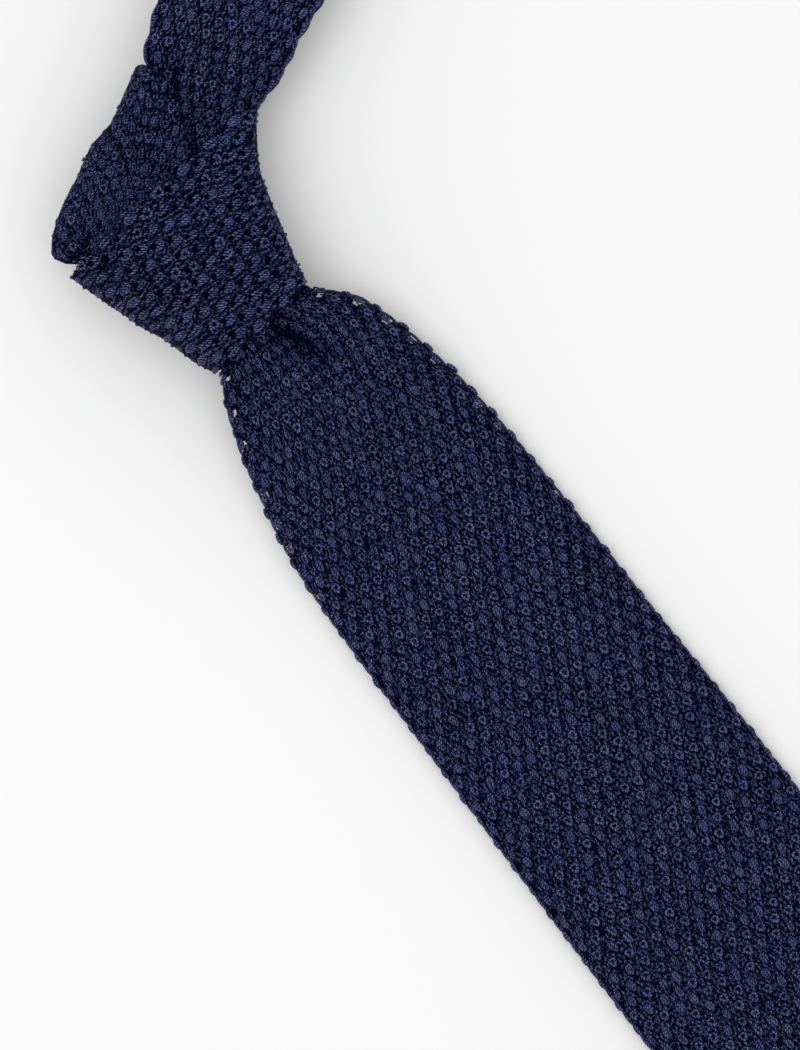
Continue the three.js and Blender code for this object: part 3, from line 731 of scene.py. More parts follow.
# %% [markdown]
# ## The dark hollow under the knot
# The dimple ends in a small hollow where hardly any light comes in. Its depth is
# in the cloth already, and the rest of its darkness is painted shade, written on
# the cloth's points as an attribute, which the colour reads later. A painted image
# could do that too, but an attribute moves with the cloth.

# %% The hollow
HOLLOW_START = np.array((1.6, -20.0))
HOLLOW_END = np.array((4.7, -27.2))
HOLLOW_HALF_WIDTH = 1.9


def hollow_share(places):
    """How deep in the dark hollow under the knot a place is, from 0 to 1."""
    line = HOLLOW_END - HOLLOW_START
    share = np.clip((places[:, :2] - HOLLOW_START) @ line / (line @ line), 0, 1)
    far = np.linalg.norm(places[:, :2] - HOLLOW_START - share[:, None] * line, axis=1)
    return hill(far, HOLLOW_HALF_WIDTH)


blade_points = np.array([vertex.co for vertex in cloth_blade.data.vertices]) / MM
hollow = cloth_blade.data.attributes.new("hollow", "FLOAT", "POINT")
hollow.data.foreach_set("value", hollow_share(blade_points).astype(np.float32))
print("points in the hollow:", int((hollow_share(blade_points) > 0.5).sum()))

# %% [markdown]
# ## Places on a cloth
# A stitch has to sit on the cloth and turn with it. Points could be scattered
# over the mesh, but a knit is regular, so every visible side of a strip is read
# as a skin: a grid of points with one number along the rows and one across them.
# Between the grid's points the skin is straight.


# %% Reading a skin
def skin_point(skin, row, across):
    """Points of a skin at rows and across numbers, straight between its grid points."""
    points, rows, columns = skin
    r = np.clip(np.searchsorted(rows, row, side="right") - 1, 0, len(rows) - 2)
    c = np.clip(np.searchsorted(columns, across, side="right") - 1, 0, len(columns) - 2)
    t = ((row - rows[r]) / (rows[r + 1] - rows[r]))[:, None]
    u = ((across - columns[c]) / (columns[c + 1] - columns[c]))[:, None]
    near = between(points[r, c], points[r, c + 1], u)
    far = between(points[r + 1, c], points[r + 1, c + 1], u)
    return between(near, far, t)


def unit(vectors):
    return vectors / np.maximum(np.linalg.norm(vectors, axis=-1, keepdims=True), TINY)


def line_lengths(line):
    """The length of a line of points up to each of them."""
    return np.concatenate([[0], np.cumsum(np.linalg.norm(np.diff(line, axis=0), axis=1))])


print("a step of three and four is", line_lengths(np.array(((0, 0), (3, 4))))[-1], "long")

# %% Laying stitches
YARN = 0.45
# from this share of a strip's half width on a stitch belongs to the edge
EDGE_SHARE = 0.922
EDGE_NARROW = 0.72
# a stitch that faces sideways is smaller and lies deeper
TURNED_SPAN = (0.35, 0.8)
TURNED_SHRINK = np.array((0.6, 0.3, 0.35))
TURNED_DEPTH = 0.45
TURNED_EDGE = 0.2
ROW_STEP = 0.6
ACROSS_STEP = 0.09


def turned_share(out):
    """How far stitches face sideways, from 0 to 1."""
    return soft_step(1 - np.abs(out[:, 2:]), *TURNED_SPAN)


def lay(skin, row, across, size, wale=(1, 0), side=1, across_step=ACROSS_STEP, depth=YARN):
    """Lays stitches on a skin: where they are, how they point and how large they are."""
    row, across = np.array(row, float), np.array(across, float)
    ahead, behind = (skin_point(skin, row + step, across) for step in (ROW_STEP, -ROW_STEP))
    along = unit(ahead - behind)
    inward = np.clip(across, -1 + across_step, 1 - across_step)
    right, left = (skin_point(skin, row, inward + step) for step in (across_step, -across_step))
    beside = unit(right - left)
    out = unit(np.cross(beside, along)) * side
    size = np.array(size, float)
    if size.ndim == 1:
        size = np.tile(size, (len(row), 1))
    turned_away = turned_share(out)
    place = skin_point(skin, row, across) - out * (depth + TURNED_DEPTH * turned_away)
    size = size * (1 - turned_away * TURNED_SHRINK)
    outermost = np.abs(across) > EDGE_SHARE
    size[outermost, 0] *= EDGE_NARROW
    shade = np.zeros(len(row))
    edge = (turned_away[:, 0] > TURNED_EDGE) | outermost
    wale_way = along * wale[0] + beside * wale[1]
    return dict(place=place, wale=wale_way, out=out, size=size, dye_and_shade=shade, hue_and_shade=shade, edge=edge)


def joined(parts):
    return {key: np.concatenate([part[key] for part in parts]) for key in parts[0]}


def share_of(laid, chosen):
    return {key: value[chosen] for key, value in laid.items()}


print("a stitch sits", YARN, "mm under the surface")

# %% Columns that close up
TIGHTEST = 0.8


def spread_columns(half_room, rest_half, count, meet):
    """Where the half columns of a strip lie across it, squeezed at most so far.
    Columns that find no room vanish into the fold at meet."""
    rest = np.linspace(-rest_half, rest_half, count)
    squeeze = max(half_room / rest_half, TIGHTEST)
    from_left = -half_room + (rest + rest_half) * squeeze
    from_right = half_room - (rest_half - rest) * squeeze
    left = from_left < meet
    x = np.where(left, from_left, from_right)
    kept = left | (from_right > meet)
    if squeeze > TIGHTEST:
        kept[:] = True
    return x, kept, squeeze


def brick_rows(column_number, length, slope, start, end):
    """The places of one half column's stitches along a strip."""
    shift = length / 2 if column_number % 2 else 0
    first = math.ceil((start - shift - slope * column_number) / length)
    last = math.floor((end - shift - slope * column_number) / length)
    return np.arange(first, last + 1) * length + shift + slope * column_number


print("columns that fit in 10 mm:", int(spread_columns(5, 10, 11, 0)[1].sum()))

# %% [markdown]
# ## Where the blade's stitches lie
# The cloth is a brick pattern: each half column of stitches is shifted by half
# a stitch against the next, and the rows slope a little. An Array modifier could
# repeat them, but where the blade is gathered into the knot its columns close up
# and vanish into the dimple, so each column is laid by its own rule.

# %% The blade's skins
HALF_COLUMN = 1.67
STITCH_LENGTH = 6.15
ROW_SLOPE = 0.21
EDGE_ROOM = 0.75
BLADE_COLUMNS = 35
blade_rest = HALF_COLUMN * (BLADE_COLUMNS - 1) / 2
# the skins have a row each millimetre so far down, then one each five
CLOSE_ROWS_UNTIL = 90
close_downs = np.arange(0, CLOSE_ROWS_UNTIL, 1.0)
skin_downs = np.concatenate([close_downs, np.arange(CLOSE_ROWS_UNTIL, BLADE_LENGTH + 1, 5.0)])
rows, above, below = (np.array(part) for part in zip(*[blade_row(down, fine) for down in skin_downs]))
out = -normals(rows)
blade_front = (rows + out * above[..., None], skin_downs, fine)
blade_back = (rows - out * below[..., None], skin_downs, fine)
print("rows of the blade's skins:", len(skin_downs))

# %% Blade stitches
FIRST_STITCH = 0.2
LAST_STITCH = 1.6
TAIL_COVER = 3
A_HAIR = 0.01
# stitches that lie on the ground are pressed flat
FLAT_DEPTH = 0.62
FLAT_SIZE = 0.55


def pressed_flat(laid):
    """Stitches that the weight of the cloth presses on the ground."""
    laid["size"] = laid["size"] * np.array((1, 1, FLAT_SIZE))
    laid["place"] = laid["place"] - laid["out"] * (FLAT_DEPTH - YARN)
    return laid


def blade_side(skin, side, is_back):
    rows, across, sizes = [], [], []
    last = BLADE_LENGTH - LAST_STITCH
    for number in range(BLADE_COLUMNS):
        for down in brick_rows(number - BLADE_COLUMNS // 2, STITCH_LENGTH, ROW_SLOPE, FIRST_STITCH, last):
            section = blade_section(down)
            room = section["half_width"] - EDGE_ROOM
            meet = dimple_line(down) - section["x"]
            x, kept, squeeze = spread_columns(room, blade_rest, BLADE_COLUMNS, meet)
            under_tail = tail_section(down)["half_width"] - TAIL_COVER
            covered = is_back and down < TAIL_LENGTH and abs(x[number]) < under_tail
            if kept[number] and abs(x[number]) <= room + A_HAIR and not covered:
                rows.append(down)
                across.append(x[number] / section["half_width"])
                sizes.append((squeeze, 1, FLAT_SIZE if is_back else 1))
    depth = FLAT_DEPTH if is_back else YARN
    return lay(skin, rows, across, sizes, wale=(-1, 0), side=side, depth=depth)


blade_front_stitches = blade_side(blade_front, -1, False)
blade_back_stitches = blade_side(blade_back, 1, True)
print("stitches on the blade:", len(blade_front_stitches["place"]), "and", len(blade_back_stitches["place"]))

# %% Stitches in the hollow
# painted shade: the stitches in the hollow are much darker, with a shifted hue
HOLLOW_STITCH_SHADE = -10
HOLLOW_SHADE_TINT = 4
HOLLOW_SHRINK = 0.35
in_hollow = hollow_share(blade_front_stitches["place"])
blade_front_stitches["dye_and_shade"] = HOLLOW_STITCH_SHADE * in_hollow
blade_front_stitches["hue_and_shade"] = HOLLOW_SHADE_TINT * in_hollow
blade_front_stitches["size"] = blade_front_stitches["size"] * (1 - HOLLOW_SHRINK * in_hollow[:, None])
print("stitches in the hollow:", int((in_hollow > 0.5).sum()))

# %% [markdown]
# ## Where the knot's stitches lie
# The wrap runs across the knot, so its columns lie sideways. The cloth is pulled
# lengthwise there, which opens a dark hole beside every stitch. The same skin
# could be used as for the strips, but the wrap is closed, so its stitches are
# spaced by their distance round the knot.

# %% Wrap stitches
WRAP_LENGTH = 7.6
WRAP_HALF_COLUMNS = 22
WRAP_RIM = 0.022
WRAP_SLOPE = 0.12
# how many stitches are tried to each side of a column's middle
WRAP_COUNT = 12
# steps along and up the wrap that tell a stitch's directions
ALONG_STEP = 0.5
UP_STEP = 0.01
WRAP_SIZE = (1.15, WRAP_LENGTH / STITCH_LENGTH, 1.0)
WRAP_TURNED_DEPTH = 0.2
# painted shade: the knot's left side is darker and more purple than its right side
WRAP_LEFT_SHADE = -1.8
WRAP_BASE_TONE = -0.6
WRAP_LEFT_SHADE_TINT = 2.2
FRONT_REACH = -0.35
HALF_TURN = 360
around_angles = np.linspace(-math.pi / 2, 1.5 * math.pi, 2 * HALF_TURN + 1)[::-1]


def wrap_column(number, front):
    """The stitches of one half column round the knot, seen from one side."""
    up = between(WRAP_RIM, 1 - WRAP_RIM, number / (WRAP_HALF_COLUMNS - 1))
    line = wrap_point(up, 0, around_angles)
    higher, lower = (wrap_point(up + step, 0, around_angles) for step in (UP_STEP, -UP_STEP))
    beside = higher - lower
    length = line_lengths(line)
    length -= length[HALF_TURN]
    shift = WRAP_LENGTH / 2 if number % 2 else 0
    places = np.arange(-WRAP_COUNT, WRAP_COUNT + 1) * WRAP_LENGTH + shift + WRAP_SLOPE * number
    places = places[(places > length[0] + 1) & (places < length[-1] - 1)]
    angle = np.interp(places, length, around_angles)
    ahead, behind = (np.interp(places + step, length, around_angles) for step in (ALONG_STEP, -ALONG_STEP))
    along = unit(wrap_point(up, 0, ahead) - wrap_point(up, 0, behind))
    rising = around_angles[::-1]
    side = np.stack([np.interp(angle, rising, beside[::-1, k]) for k in range(3)], axis=1)
    out = unit(np.cross(along, side))
    turned_away = turned_share(out)
    place = wrap_point(up, 0, angle)
    to_left = -np.clip(place[:, 0] / (KNOT_TOP_WIDTH / 2), -1, 1)
    part = dict(
        place=place - out * (YARN + WRAP_TURNED_DEPTH * turned_away),
        wale=along,
        out=out,
        size=np.tile(WRAP_SIZE, (len(place), 1)) * (1 - turned_away * TURNED_SHRINK),
        dye_and_shade=WRAP_LEFT_SHADE * to_left + WRAP_BASE_TONE,
        hue_and_shade=WRAP_LEFT_SHADE_TINT * to_left,
        edge=turned_away[:, 0] > TURNED_EDGE,
    )
    return share_of(part, (np.sin(angle) > FRONT_REACH) == front)


knot_front_stitches = joined([wrap_column(number, True) for number in range(WRAP_HALF_COLUMNS)])
knot_back_stitches = joined([wrap_column(number, False) for number in range(WRAP_HALF_COLUMNS)])
knot_back_stitches = pressed_flat(knot_back_stitches)
print("stitches on the wrap:", len(knot_front_stitches["place"]), "and", len(knot_back_stitches["place"]))

# %% [markdown]
# ## Where the turned-over strip's stitches lie
# Above the wrap the blade's strip turns over a fold. Its columns run at a slant
# to the fold. They could be bent over it with a curve modifier, but it is easier
# to lay them out in the plane of the cloth and read their places off the skin.

# %% The fold's skin
TOWARDS_WRAP_STEPS = 2
fold_first = hidden_row(1.0, fine, KNIT)
to_crest = range(-TOWARDS_WRAP_STEPS, JOIN_STEPS)
fold_rows = [between(fold_first, fold_row(0, fine), step / JOIN_STEPS) for step in to_crest]
fold_rows += [fold_row(math.pi * step / TURN_STEPS, fine) for step in range(TURN_STEPS + 1)]
fold_grid = np.array(fold_rows)
MIDDLE = len(fine) // 2
fold_half = KNIT / 2 * edge_round(fine, STRIP_EDGE)
fold_out = -normals(fold_grid)
if fold_out[JOIN_STEPS, MIDDLE, 2] < 0:
    fold_out = -fold_out
fold_skin_points = fold_grid + fold_out * fold_half[None, :, None]
fold_along = line_lengths(fold_skin_points[:, MIDDLE])
fold_skin = (fold_skin_points, fold_along, fine)
fold_width = np.linalg.norm(FOLD_RIGHT - FOLD_LEFT)
print("the fold's skin is", round(float(fold_along[-1]), 1), "mm long")

# %% Fold stitches
FOLD_LENGTH = 5.4
FOLD_HALF_COLUMN = 1.5
FOLD_SHEAR = 0.6
FOLD_SIZE = (0.92, 0.92, 1)
FOLD_TONE = -2.5
FOLD_ACROSS_STEP = 0.03
FOLD_REACH = 0.97
# the fold is tighter at its left end, so fewer stitches fit there
CROWDED_FROM, CROWDED_KEEP, CROWDED_UNTIL = 5, 0.85, -0.3
# the directions of the columns and of the fold, in degrees
COLUMNS_AT, FOLD_AT = 63, 29.7
slant = math.radians(COLUMNS_AT - FOLD_AT)
wale_direction = np.array((math.cos(slant), math.sin(slant)))
row_direction = np.array((wale_direction[1], -wale_direction[0]))
rows, across = [], []
for number in range(-40, 41):
    for step in range(-20, 21):
        place = number * FOLD_HALF_COLUMN * row_direction
        place = place + (step + FOLD_SHEAR * number) * FOLD_LENGTH * wale_direction
        share = place[0] / (fold_width / 2)
        keep = between(CROWDED_KEEP, 1, soft_step(share, -1, CROWDED_UNTIL))
        crowded = rng.random() > keep and place[1] > CROWDED_FROM
        if abs(share) < FOLD_REACH and 0 < place[1] < fold_along[-1] and not crowded:
            rows.append(place[1])
            across.append(share)
fold_wale = (wale_direction[1], wale_direction[0])
fold_stitches = lay(fold_skin, rows, across, FOLD_SIZE, wale=fold_wale, across_step=FOLD_ACROSS_STEP)
fold_stitches["dye_and_shade"] = fold_stitches["dye_and_shade"] + FOLD_TONE
print("stitches on the fold:", len(rows))

# %% [markdown]
# ## Where the neck loop's stitches lie
# The neck loop is the same cloth, less gathered, so its stitches are larger. It
# could reuse the blade's stitches scaled up, but its columns also close up
# beside the knot, so it is laid out in the same way as the blade.

# %% The neck loop's skin
neck_full, neck_full_above, neck_full_below = neck_cloth(0)
neck_out = normals(neck_full)
if neck_out[3, MIDDLE, 2] < 0:
    neck_out = -neck_out
neck_along = line_lengths(neck_full[:, MIDDLE])
neck_skin = (neck_full + neck_out * neck_full_above[..., None], neck_along, fine)
turned_reach = TURN_START + NECK_TURN * np.sin(turn_angles)
neck_reach = np.concatenate([neck_outs, turned_reach, neck_outs[::-1]])
leg_end = neck_along[len(neck_outs) + TURN_STEPS]
print("the neck loop is", round(float(neck_along[-1])), "mm long")

# %% Neck stitches
NECK_LENGTH = 6.6
NECK_COLUMNS = 21
NECK_SLOPE = 0.1
NECK_SIZE = (1.12, 1.1, 1.05)
neck_rest = 36.4 / 2
# beside the knot the columns close up towards the left edge
MEET_SIDE = 20
rows, across, sizes = [], [], []
for number in range(NECK_COLUMNS):
    for along in brick_rows(number - NECK_COLUMNS // 2, NECK_LENGTH, NECK_SLOPE, 1, neck_along[-1] - 1):
        share = np.interp(along, neck_along, neck_reach) / NECK_REACH
        left, right = (column(NECK_ROWS, name, share) * NECK_WIDTH for name in ("left", "right"))
        half_width = (left - right) / 2
        room = half_width - EDGE_ROOM
        x, kept, squeeze = spread_columns(room, neck_rest, NECK_COLUMNS, (left + right) / 2 - MEET_SIDE)
        if kept[number] and abs(x[number]) < room + A_HAIR:
            rows.append(along)
            across.append(x[number] / half_width)
            sizes.append((squeeze * NECK_SIZE[0], *NECK_SIZE[1:]))
neck_stitches = lay(neck_skin, rows, across, sizes)
is_upper = np.array(rows) < leg_end
neck_upper_stitches = share_of(neck_stitches, is_upper)
neck_lower_stitches = pressed_flat(share_of(neck_stitches, ~is_upper))
print("stitches on the neck loop:", is_upper.sum(), "and", (~is_upper).sum())

# %% [markdown]
# ## Where the tail's stitches lie
# The tail's front is pressed against the blade and never shows, so it stays
# plain. Its back could stay plain too, but it is the back of the tie, so that
# side is stitched.

# %% Tail stitches
TAIL_COLUMNS = 23
TAIL_FIRST = -2
TAIL_MEET = 0.1
tail_skin_downs = np.arange(-4, TAIL_LENGTH + 1, 2.0)
tail_points = []
for down in tail_skin_downs:
    section = tail_section(down)
    x = section["x"] + section["half_width"] * fine
    underside = section["z"] - tail_half_thickness(section)
    tail_points.append(np.stack(np.broadcast_arrays(x, -KNOT_HEIGHT / 2 - down, underside), axis=-1))
tail_skin = (np.array(tail_points), tail_skin_downs, fine)
tail_rest = HALF_COLUMN * (TAIL_COLUMNS - 1) / 2
last = TAIL_LENGTH - LAST_STITCH
rows, across, sizes = [], [], []
for number in range(TAIL_COLUMNS):
    for down in brick_rows(number - TAIL_COLUMNS // 2, STITCH_LENGTH, ROW_SLOPE, TAIL_FIRST, last):
        half_width = tail_section(down)["half_width"]
        room = half_width - EDGE_ROOM
        x, kept, squeeze = spread_columns(room, tail_rest, TAIL_COLUMNS, TAIL_MEET)
        if kept[number] and abs(x[number]) < room + A_HAIR:
            rows.append(down)
            across.append(x[number] / half_width)
            sizes.append((squeeze, 1, FLAT_SIZE))
tail_stitches = lay(tail_skin, rows, across, sizes, wale=(-1, 0), side=1, depth=FLAT_DEPTH)
print("stitches on the tail:", len(rows))

# %% [markdown]
# ## One stitch
# A stitch is a loop of silk yarn seen from its head: a bud with a small eye,
# narrowing towards the blade's end, and three short runs of the next row's yarn
# round its upper side. It could be a sphere with a texture, but the eye and the
# runs are what makes the cloth look knitted, so they are real little tubes.

# %% A tube of yarn
SIDE_NUDGE = np.array((1e-6, 0, 0))


def tube(path, radii, sides, closed=False):
    """A tube of yarn along a path: points, faces, and yarn length and turn at corners."""
    path, radii = np.array(path, float), np.broadcast_to(radii, len(path))
    ahead = np.gradient(path, axis=0)
    if closed:
        ahead = np.roll(path, -1, axis=0) - np.roll(path, 1, axis=0)
    ahead = unit(ahead)
    flat_side = unit(np.cross(ahead, (0, 0, 1)) + SIDE_NUDGE)
    up_side = np.cross(flat_side, ahead)
    turn = np.arange(sides) * 2 * math.pi / sides
    cosines, sines = (values[None, :, None] for values in (np.cos(turn), np.sin(turn)))
    ring = cosines * flat_side[:, None] + sines * up_side[:, None]
    points = (path[:, None] + ring * radii[:, None, None]).reshape(-1, 3)
    length = line_lengths(path)
    faces, corners = [], []
    count = len(path)
    for i in range(count if closed else count - 1):
        following = (i + 1) % count
        start = length[i]
        end = length[i + 1] if i + 1 < count else length[-1] + np.linalg.norm(path[0] - path[-1])
        for j in range(sides):
            k = (j + 1) % sides
            near = (i * sides + j, i * sides + k)
            faces.append(near + (following * sides + k, following * sides + j))
            corners += [(start, j / sides), (start, (j + 1) / sides)]
            corners += [(end, (j + 1) / sides), (end, j / sides)]
    if not closed:
        last = (count - 1) * sides
        faces.append(tuple(reversed(range(sides))))
        faces.append(tuple(last + j for j in range(sides)))
        corners += [(0, j / sides) for j in reversed(range(sides))]
        corners += [(length[-1], j / sides) for j in range(sides)]
    return points, faces, corners


print("faces of a straight tube:", len(tube([(0, 0, 0), (0, 1, 0)], 0.3, 3)[1]))


# %% Yarn out of tubes
def yarn_object(name, tubes):
    """An object out of tubes that remembers where along its yarn every corner is."""
    points, faces, corners = [], [], []
    for tube_points, tube_faces, tube_corners in tubes:
        offset = sum(len(p) for p in points)
        points.append(tube_points)
        faces += [tuple(index + offset for index in face) for face in tube_faces]
        corners += tube_corners
    made = shown(name, np.concatenate(points), faces)
    yarn_uv = made.data.attributes.new("yarn_uv", "FLOAT2", "CORNER")
    yarn_uv.data.foreach_set("vector", np.array(corners, np.float32).ravel())
    return made


BUD_YARN = 0.36
BUD_WIDTH = 1.2
BUD_LEAN = 0.06
BUD_LENGTH = 0.92
BUD_DOWN = 0.15
BUD_HEIGHT = 0.05
BUD_TILT = 0.12
# a run is shorter at each end by so much of its radius
RUN_END = 0.6


def bud(segments, sides):
    """An open bud: one closed loop of yarn round a small eye."""
    turn = np.arange(segments) * 2 * math.pi / segments
    x = BUD_WIDTH * np.sin(turn) * np.cos(turn / 2) ** 2
    y = BUD_LENGTH * np.cos(turn) - BUD_DOWN
    z = BUD_HEIGHT - BUD_TILT * np.cos(turn)
    return tube(np.stack([x + BUD_LEAN * np.sin(turn / 2), y, z], axis=1), BUD_YARN, sides, True)


def run(x, y, length, lean, radius, height):
    """A short run of the next row's yarn."""
    half = np.array((math.sin(lean), math.cos(lean), 0)) * (length / 2 - RUN_END * radius)
    middle = np.array((x, y, height))
    return tube([middle - half, middle + half], radius, 3)


print("faces of an open bud:", len(bud(8, 5)[1]))

# %% Strands of a closed bud
STRAND_TOP = 1.15
STRAND_FOOT = -1.45
STRAND_BOW = (0.12, 0.95)
STRAND_BOW_POWER = 0.7
STRAND_HEIGHT = 0.3
STRAND_SINK = 0.15
STRAND_TAPER = np.array((0.8, 1, 1, 0.7))


def strand(side, spread, radius):
    """One of the strands that lie side by side in a closed bud."""
    share = np.linspace(0, 1, len(STRAND_TAPER))
    x = side * spread * np.sin(math.pi * np.clip(share, *STRAND_BOW)) ** STRAND_BOW_POWER
    y = between(STRAND_TOP, STRAND_FOOT, share)
    z = STRAND_HEIGHT * np.sin(math.pi * share) - STRAND_SINK * abs(side)
    return tube(np.stack([x, y, z], axis=1), radius * STRAND_TAPER, 4)


print("faces of a strand:", len(strand(0, 0, 0.38)[1]))

# %% The stitches
# x, y, length, lean, radius and height of every run
runs = [
    run(-1.05, 1.4, 1.35, 0.55, 0.3, 0.05),
    run(0.0, 1.8, 1.25, 0.0, 0.3, 0.1),
    run(1.05, 1.15, 1.4, -0.2, 0.3, 0.05),
]
low_runs = [run(-1.45, -0.35, 1.5, 0.25, 0.25, -0.15), run(1.5, -0.6, 1.4, -0.3, 0.25, -0.15)]
closed_bud = [strand(-1, 0.62, 0.34), strand(0, 0, 0.38), strand(1, 0.62, 0.34)]
narrow_bud = [strand(-1, 0.42, 0.4), strand(1, 0.42, 0.4)]
edge_bud = [strand(-1, 0.5, 0.42), strand(0, 0, 0.44), strand(1, 0.5, 0.42)]
full_stitches = [
    yarn_object("stitch_1_open", [bud(8, 5)] + runs + low_runs),
    yarn_object("stitch_2_closed", closed_bud + runs + low_runs),
    yarn_object("stitch_3_narrow", narrow_bud + runs[1:] + low_runs),
    yarn_object("stitch_4_edge", edge_bud),
]
plain_stitches = [yarn_object("stitch_plain", [bud(6, 4), run(0.0, 1.7, 1.3, 0.0, 0.36, 0.0)])]
opening_shapes = [yarn_object("opening", [run(0, 0, 1.5, 0, 0.55, 0)])]
print("faces of the stitches:", [len(made.data.polygons) for made in full_stitches + plain_stitches])


# %% Collections to pick stitches from
def collected(name, objects):
    """A collection of stitch shapes for Geometry Nodes to pick from."""
    made = bpy.data.collections.new(name)
    bpy.context.scene.collection.children.link(made)
    for item in objects:
        item.hide_render = True
        made.objects.link(item)
        bpy.context.collection.objects.unlink(item)
    return made


full_stitch = collected("full_stitches", full_stitches)
plain_stitch = collected("plain_stitches", plain_stitches)
opening = collected("openings", opening_shapes)
print("collections of shapes:", full_stitch.name, plain_stitch.name, opening.name)

# %% [markdown]
# ## Knitting with Geometry Nodes
# A Geometry Nodes tree sets one stitch on every point of a cloud. Each point
# carries its own directions and size. Random turns and sizes keep the rows from
# looking printed. Copies could be placed one by one in a loop, but the tree is
# faster, its inputs have names, and the same tree serves every side of the tie.

# %% The tree's inputs
KNIT_TREE = bpy.data.node_groups.new("knit_stitches", "GeometryNodeTree")
for name, kind in (("Geometry", "Geometry"), ("Stitches", "Collection"), ("Yarn", "Material")):
    KNIT_TREE.interface.new_socket(name, in_out="INPUT", socket_type="NodeSocket" + kind)
amounts = (("Stitch Size", 1.0), ("Random Turn", 0.2), ("Random Size", 0.09), ("Random Shift", 0.00014))
for name, value in amounts:
    socket = KNIT_TREE.interface.new_socket(name, in_out="INPUT", socket_type="NodeSocketFloat")
    socket.default_value = value
socket = KNIT_TREE.interface.new_socket("Seed", in_out="INPUT", socket_type="NodeSocketInt")
socket.default_value = 3
KNIT_TREE.interface.new_socket("Geometry", in_out="OUTPUT", socket_type="NodeSocketGeometry")
node, link = KNIT_TREE.nodes.new, KNIT_TREE.links.new
given, result = node("NodeGroupInput"), node("NodeGroupOutput")
print("inputs of the tree:", [item.name for item in KNIT_TREE.interface.items_tree if item.in_out == "INPUT"])


# %% Small helpers for node trees
def math_node(tree, operation, *values):
    """A Math node's output. A number is set on it and anything else is linked."""
    made = tree.nodes.new("ShaderNodeMath")
    made.operation = operation
    for socket, value in zip(made.inputs, values):
        if isinstance(value, (int, float)):
            socket.default_value = value
        else:
            tree.links.new(value, socket)
    return made.outputs[0]


def attribute(name, kind="FLOAT_VECTOR"):
    """What a point of the cloud carries under a name."""
    found = node("GeometryNodeInputNamedAttribute")
    found.data_type = kind
    found.inputs["Name"].default_value = name
    return found.outputs["Attribute"]


def number_sockets(sockets):
    return [socket for socket in sockets if socket.type == "VALUE" and socket.enabled]


def random(span, seed_shift):
    """A random number between minus and plus one of the tree's inputs."""
    value = node("FunctionNodeRandomValue")
    value.data_type = "FLOAT"
    low = math_node(KNIT_TREE, "MULTIPLY", given.outputs[span], -1)
    seed = math_node(KNIT_TREE, "ADD", given.outputs["Seed"], seed_shift)
    lowest, highest = number_sockets(value.inputs)[:2]
    link(low, lowest)
    link(given.outputs[span], highest)
    link(seed, value.inputs["Seed"])
    return number_sockets(value.outputs)[0]


# %% Turning a stitch with its cloth
outward = node("FunctionNodeAlignRotationToVector")
outward.axis = "Z"
link(attribute("out"), outward.inputs["Vector"])
along_wale = node("FunctionNodeAlignRotationToVector")
along_wale.axis = "Y"
along_wale.pivot_axis = "Z"
link(outward.outputs[0], along_wale.inputs["Rotation"])
link(attribute("wale"), along_wale.inputs["Vector"])
# a stitch tips less than it turns in the cloth
random_angles = node("ShaderNodeCombineXYZ")
for index, (name, part) in enumerate((("X", 0.35), ("Y", 0.6), ("Z", 1.0))):
    damped = math_node(KNIT_TREE, "MULTIPLY", random("Random Turn", index), part)
    link(damped, random_angles.inputs[name])
random_turn = node("FunctionNodeEulerToRotation")
link(random_angles.outputs[0], random_turn.inputs[0])
turned = node("FunctionNodeRotateRotation")
turned.rotation_space = "LOCAL"
link(along_wale.outputs[0], turned.inputs["Rotation"])
link(random_turn.outputs[0], turned.inputs["Rotate By"])
print("nodes that turn a stitch:", len(KNIT_TREE.nodes))

# %% Its size and its place
SIZE_SEED = 9
SHIFT_SEED = 20
stitch_size = node("ShaderNodeVectorMath")
stitch_size.operation = "SCALE"
link(attribute("size"), stitch_size.inputs[0])
more = math_node(KNIT_TREE, "ADD", given.outputs["Stitch Size"], random("Random Size", SIZE_SEED))
link(more, stitch_size.inputs["Scale"])
random_shift = node("ShaderNodeCombineXYZ")
for index, name in enumerate("XYZ"):
    link(random("Random Shift", SHIFT_SEED + index), random_shift.inputs[name])
moved = node("GeometryNodeSetPosition")
link(given.outputs["Geometry"], moved.inputs["Geometry"])
link(random_shift.outputs[0], moved.inputs["Offset"])
print("nodes with size and place:", len(KNIT_TREE.nodes))

# %% Stitches on the points
picked = node("GeometryNodeCollectionInfo")
picked.inputs["Separate Children"].default_value = True
picked.inputs["Reset Children"].default_value = True
link(given.outputs["Stitches"], picked.inputs["Collection"])
knitted = node("GeometryNodeInstanceOnPoints")
knitted.inputs["Pick Instance"].default_value = True
link(moved.outputs[0], knitted.inputs["Points"])
link(picked.outputs["Instances"], knitted.inputs["Instance"])
link(attribute("kind", "INT"), knitted.inputs["Instance Index"])
link(turned.outputs[0], knitted.inputs["Rotation"])
link(stitch_size.outputs[0], knitted.inputs["Scale"])
realized = node("GeometryNodeRealizeInstances")
link(knitted.outputs[0], realized.inputs[0])
coloured = node("GeometryNodeSetMaterial")
link(realized.outputs[0], coloured.inputs["Geometry"])
link(given.outputs["Yarn"], coloured.inputs["Material"])
link(coloured.outputs[0], result.inputs[0])
print("nodes of the whole tree:", len(KNIT_TREE.nodes))


# %% Materials to start from
def new_material(name, roughness, shine=0.5, colour=(0.8, 0.8, 0.8)):
    """A material with its colour, its roughness and how much its surface mirrors."""
    made = bpy.data.materials.new(name)
    made.use_nodes = True
    surface = made.node_tree.nodes["Principled BSDF"]
    surface.inputs["Base Color"].default_value = (*colour, 1)
    surface.inputs["Roughness"].default_value = roughness
    surface.inputs["Specular IOR Level"].default_value = shine
    return made, surface


yarn, yarn_surface = new_material("yarn", 0.45, 0.12)
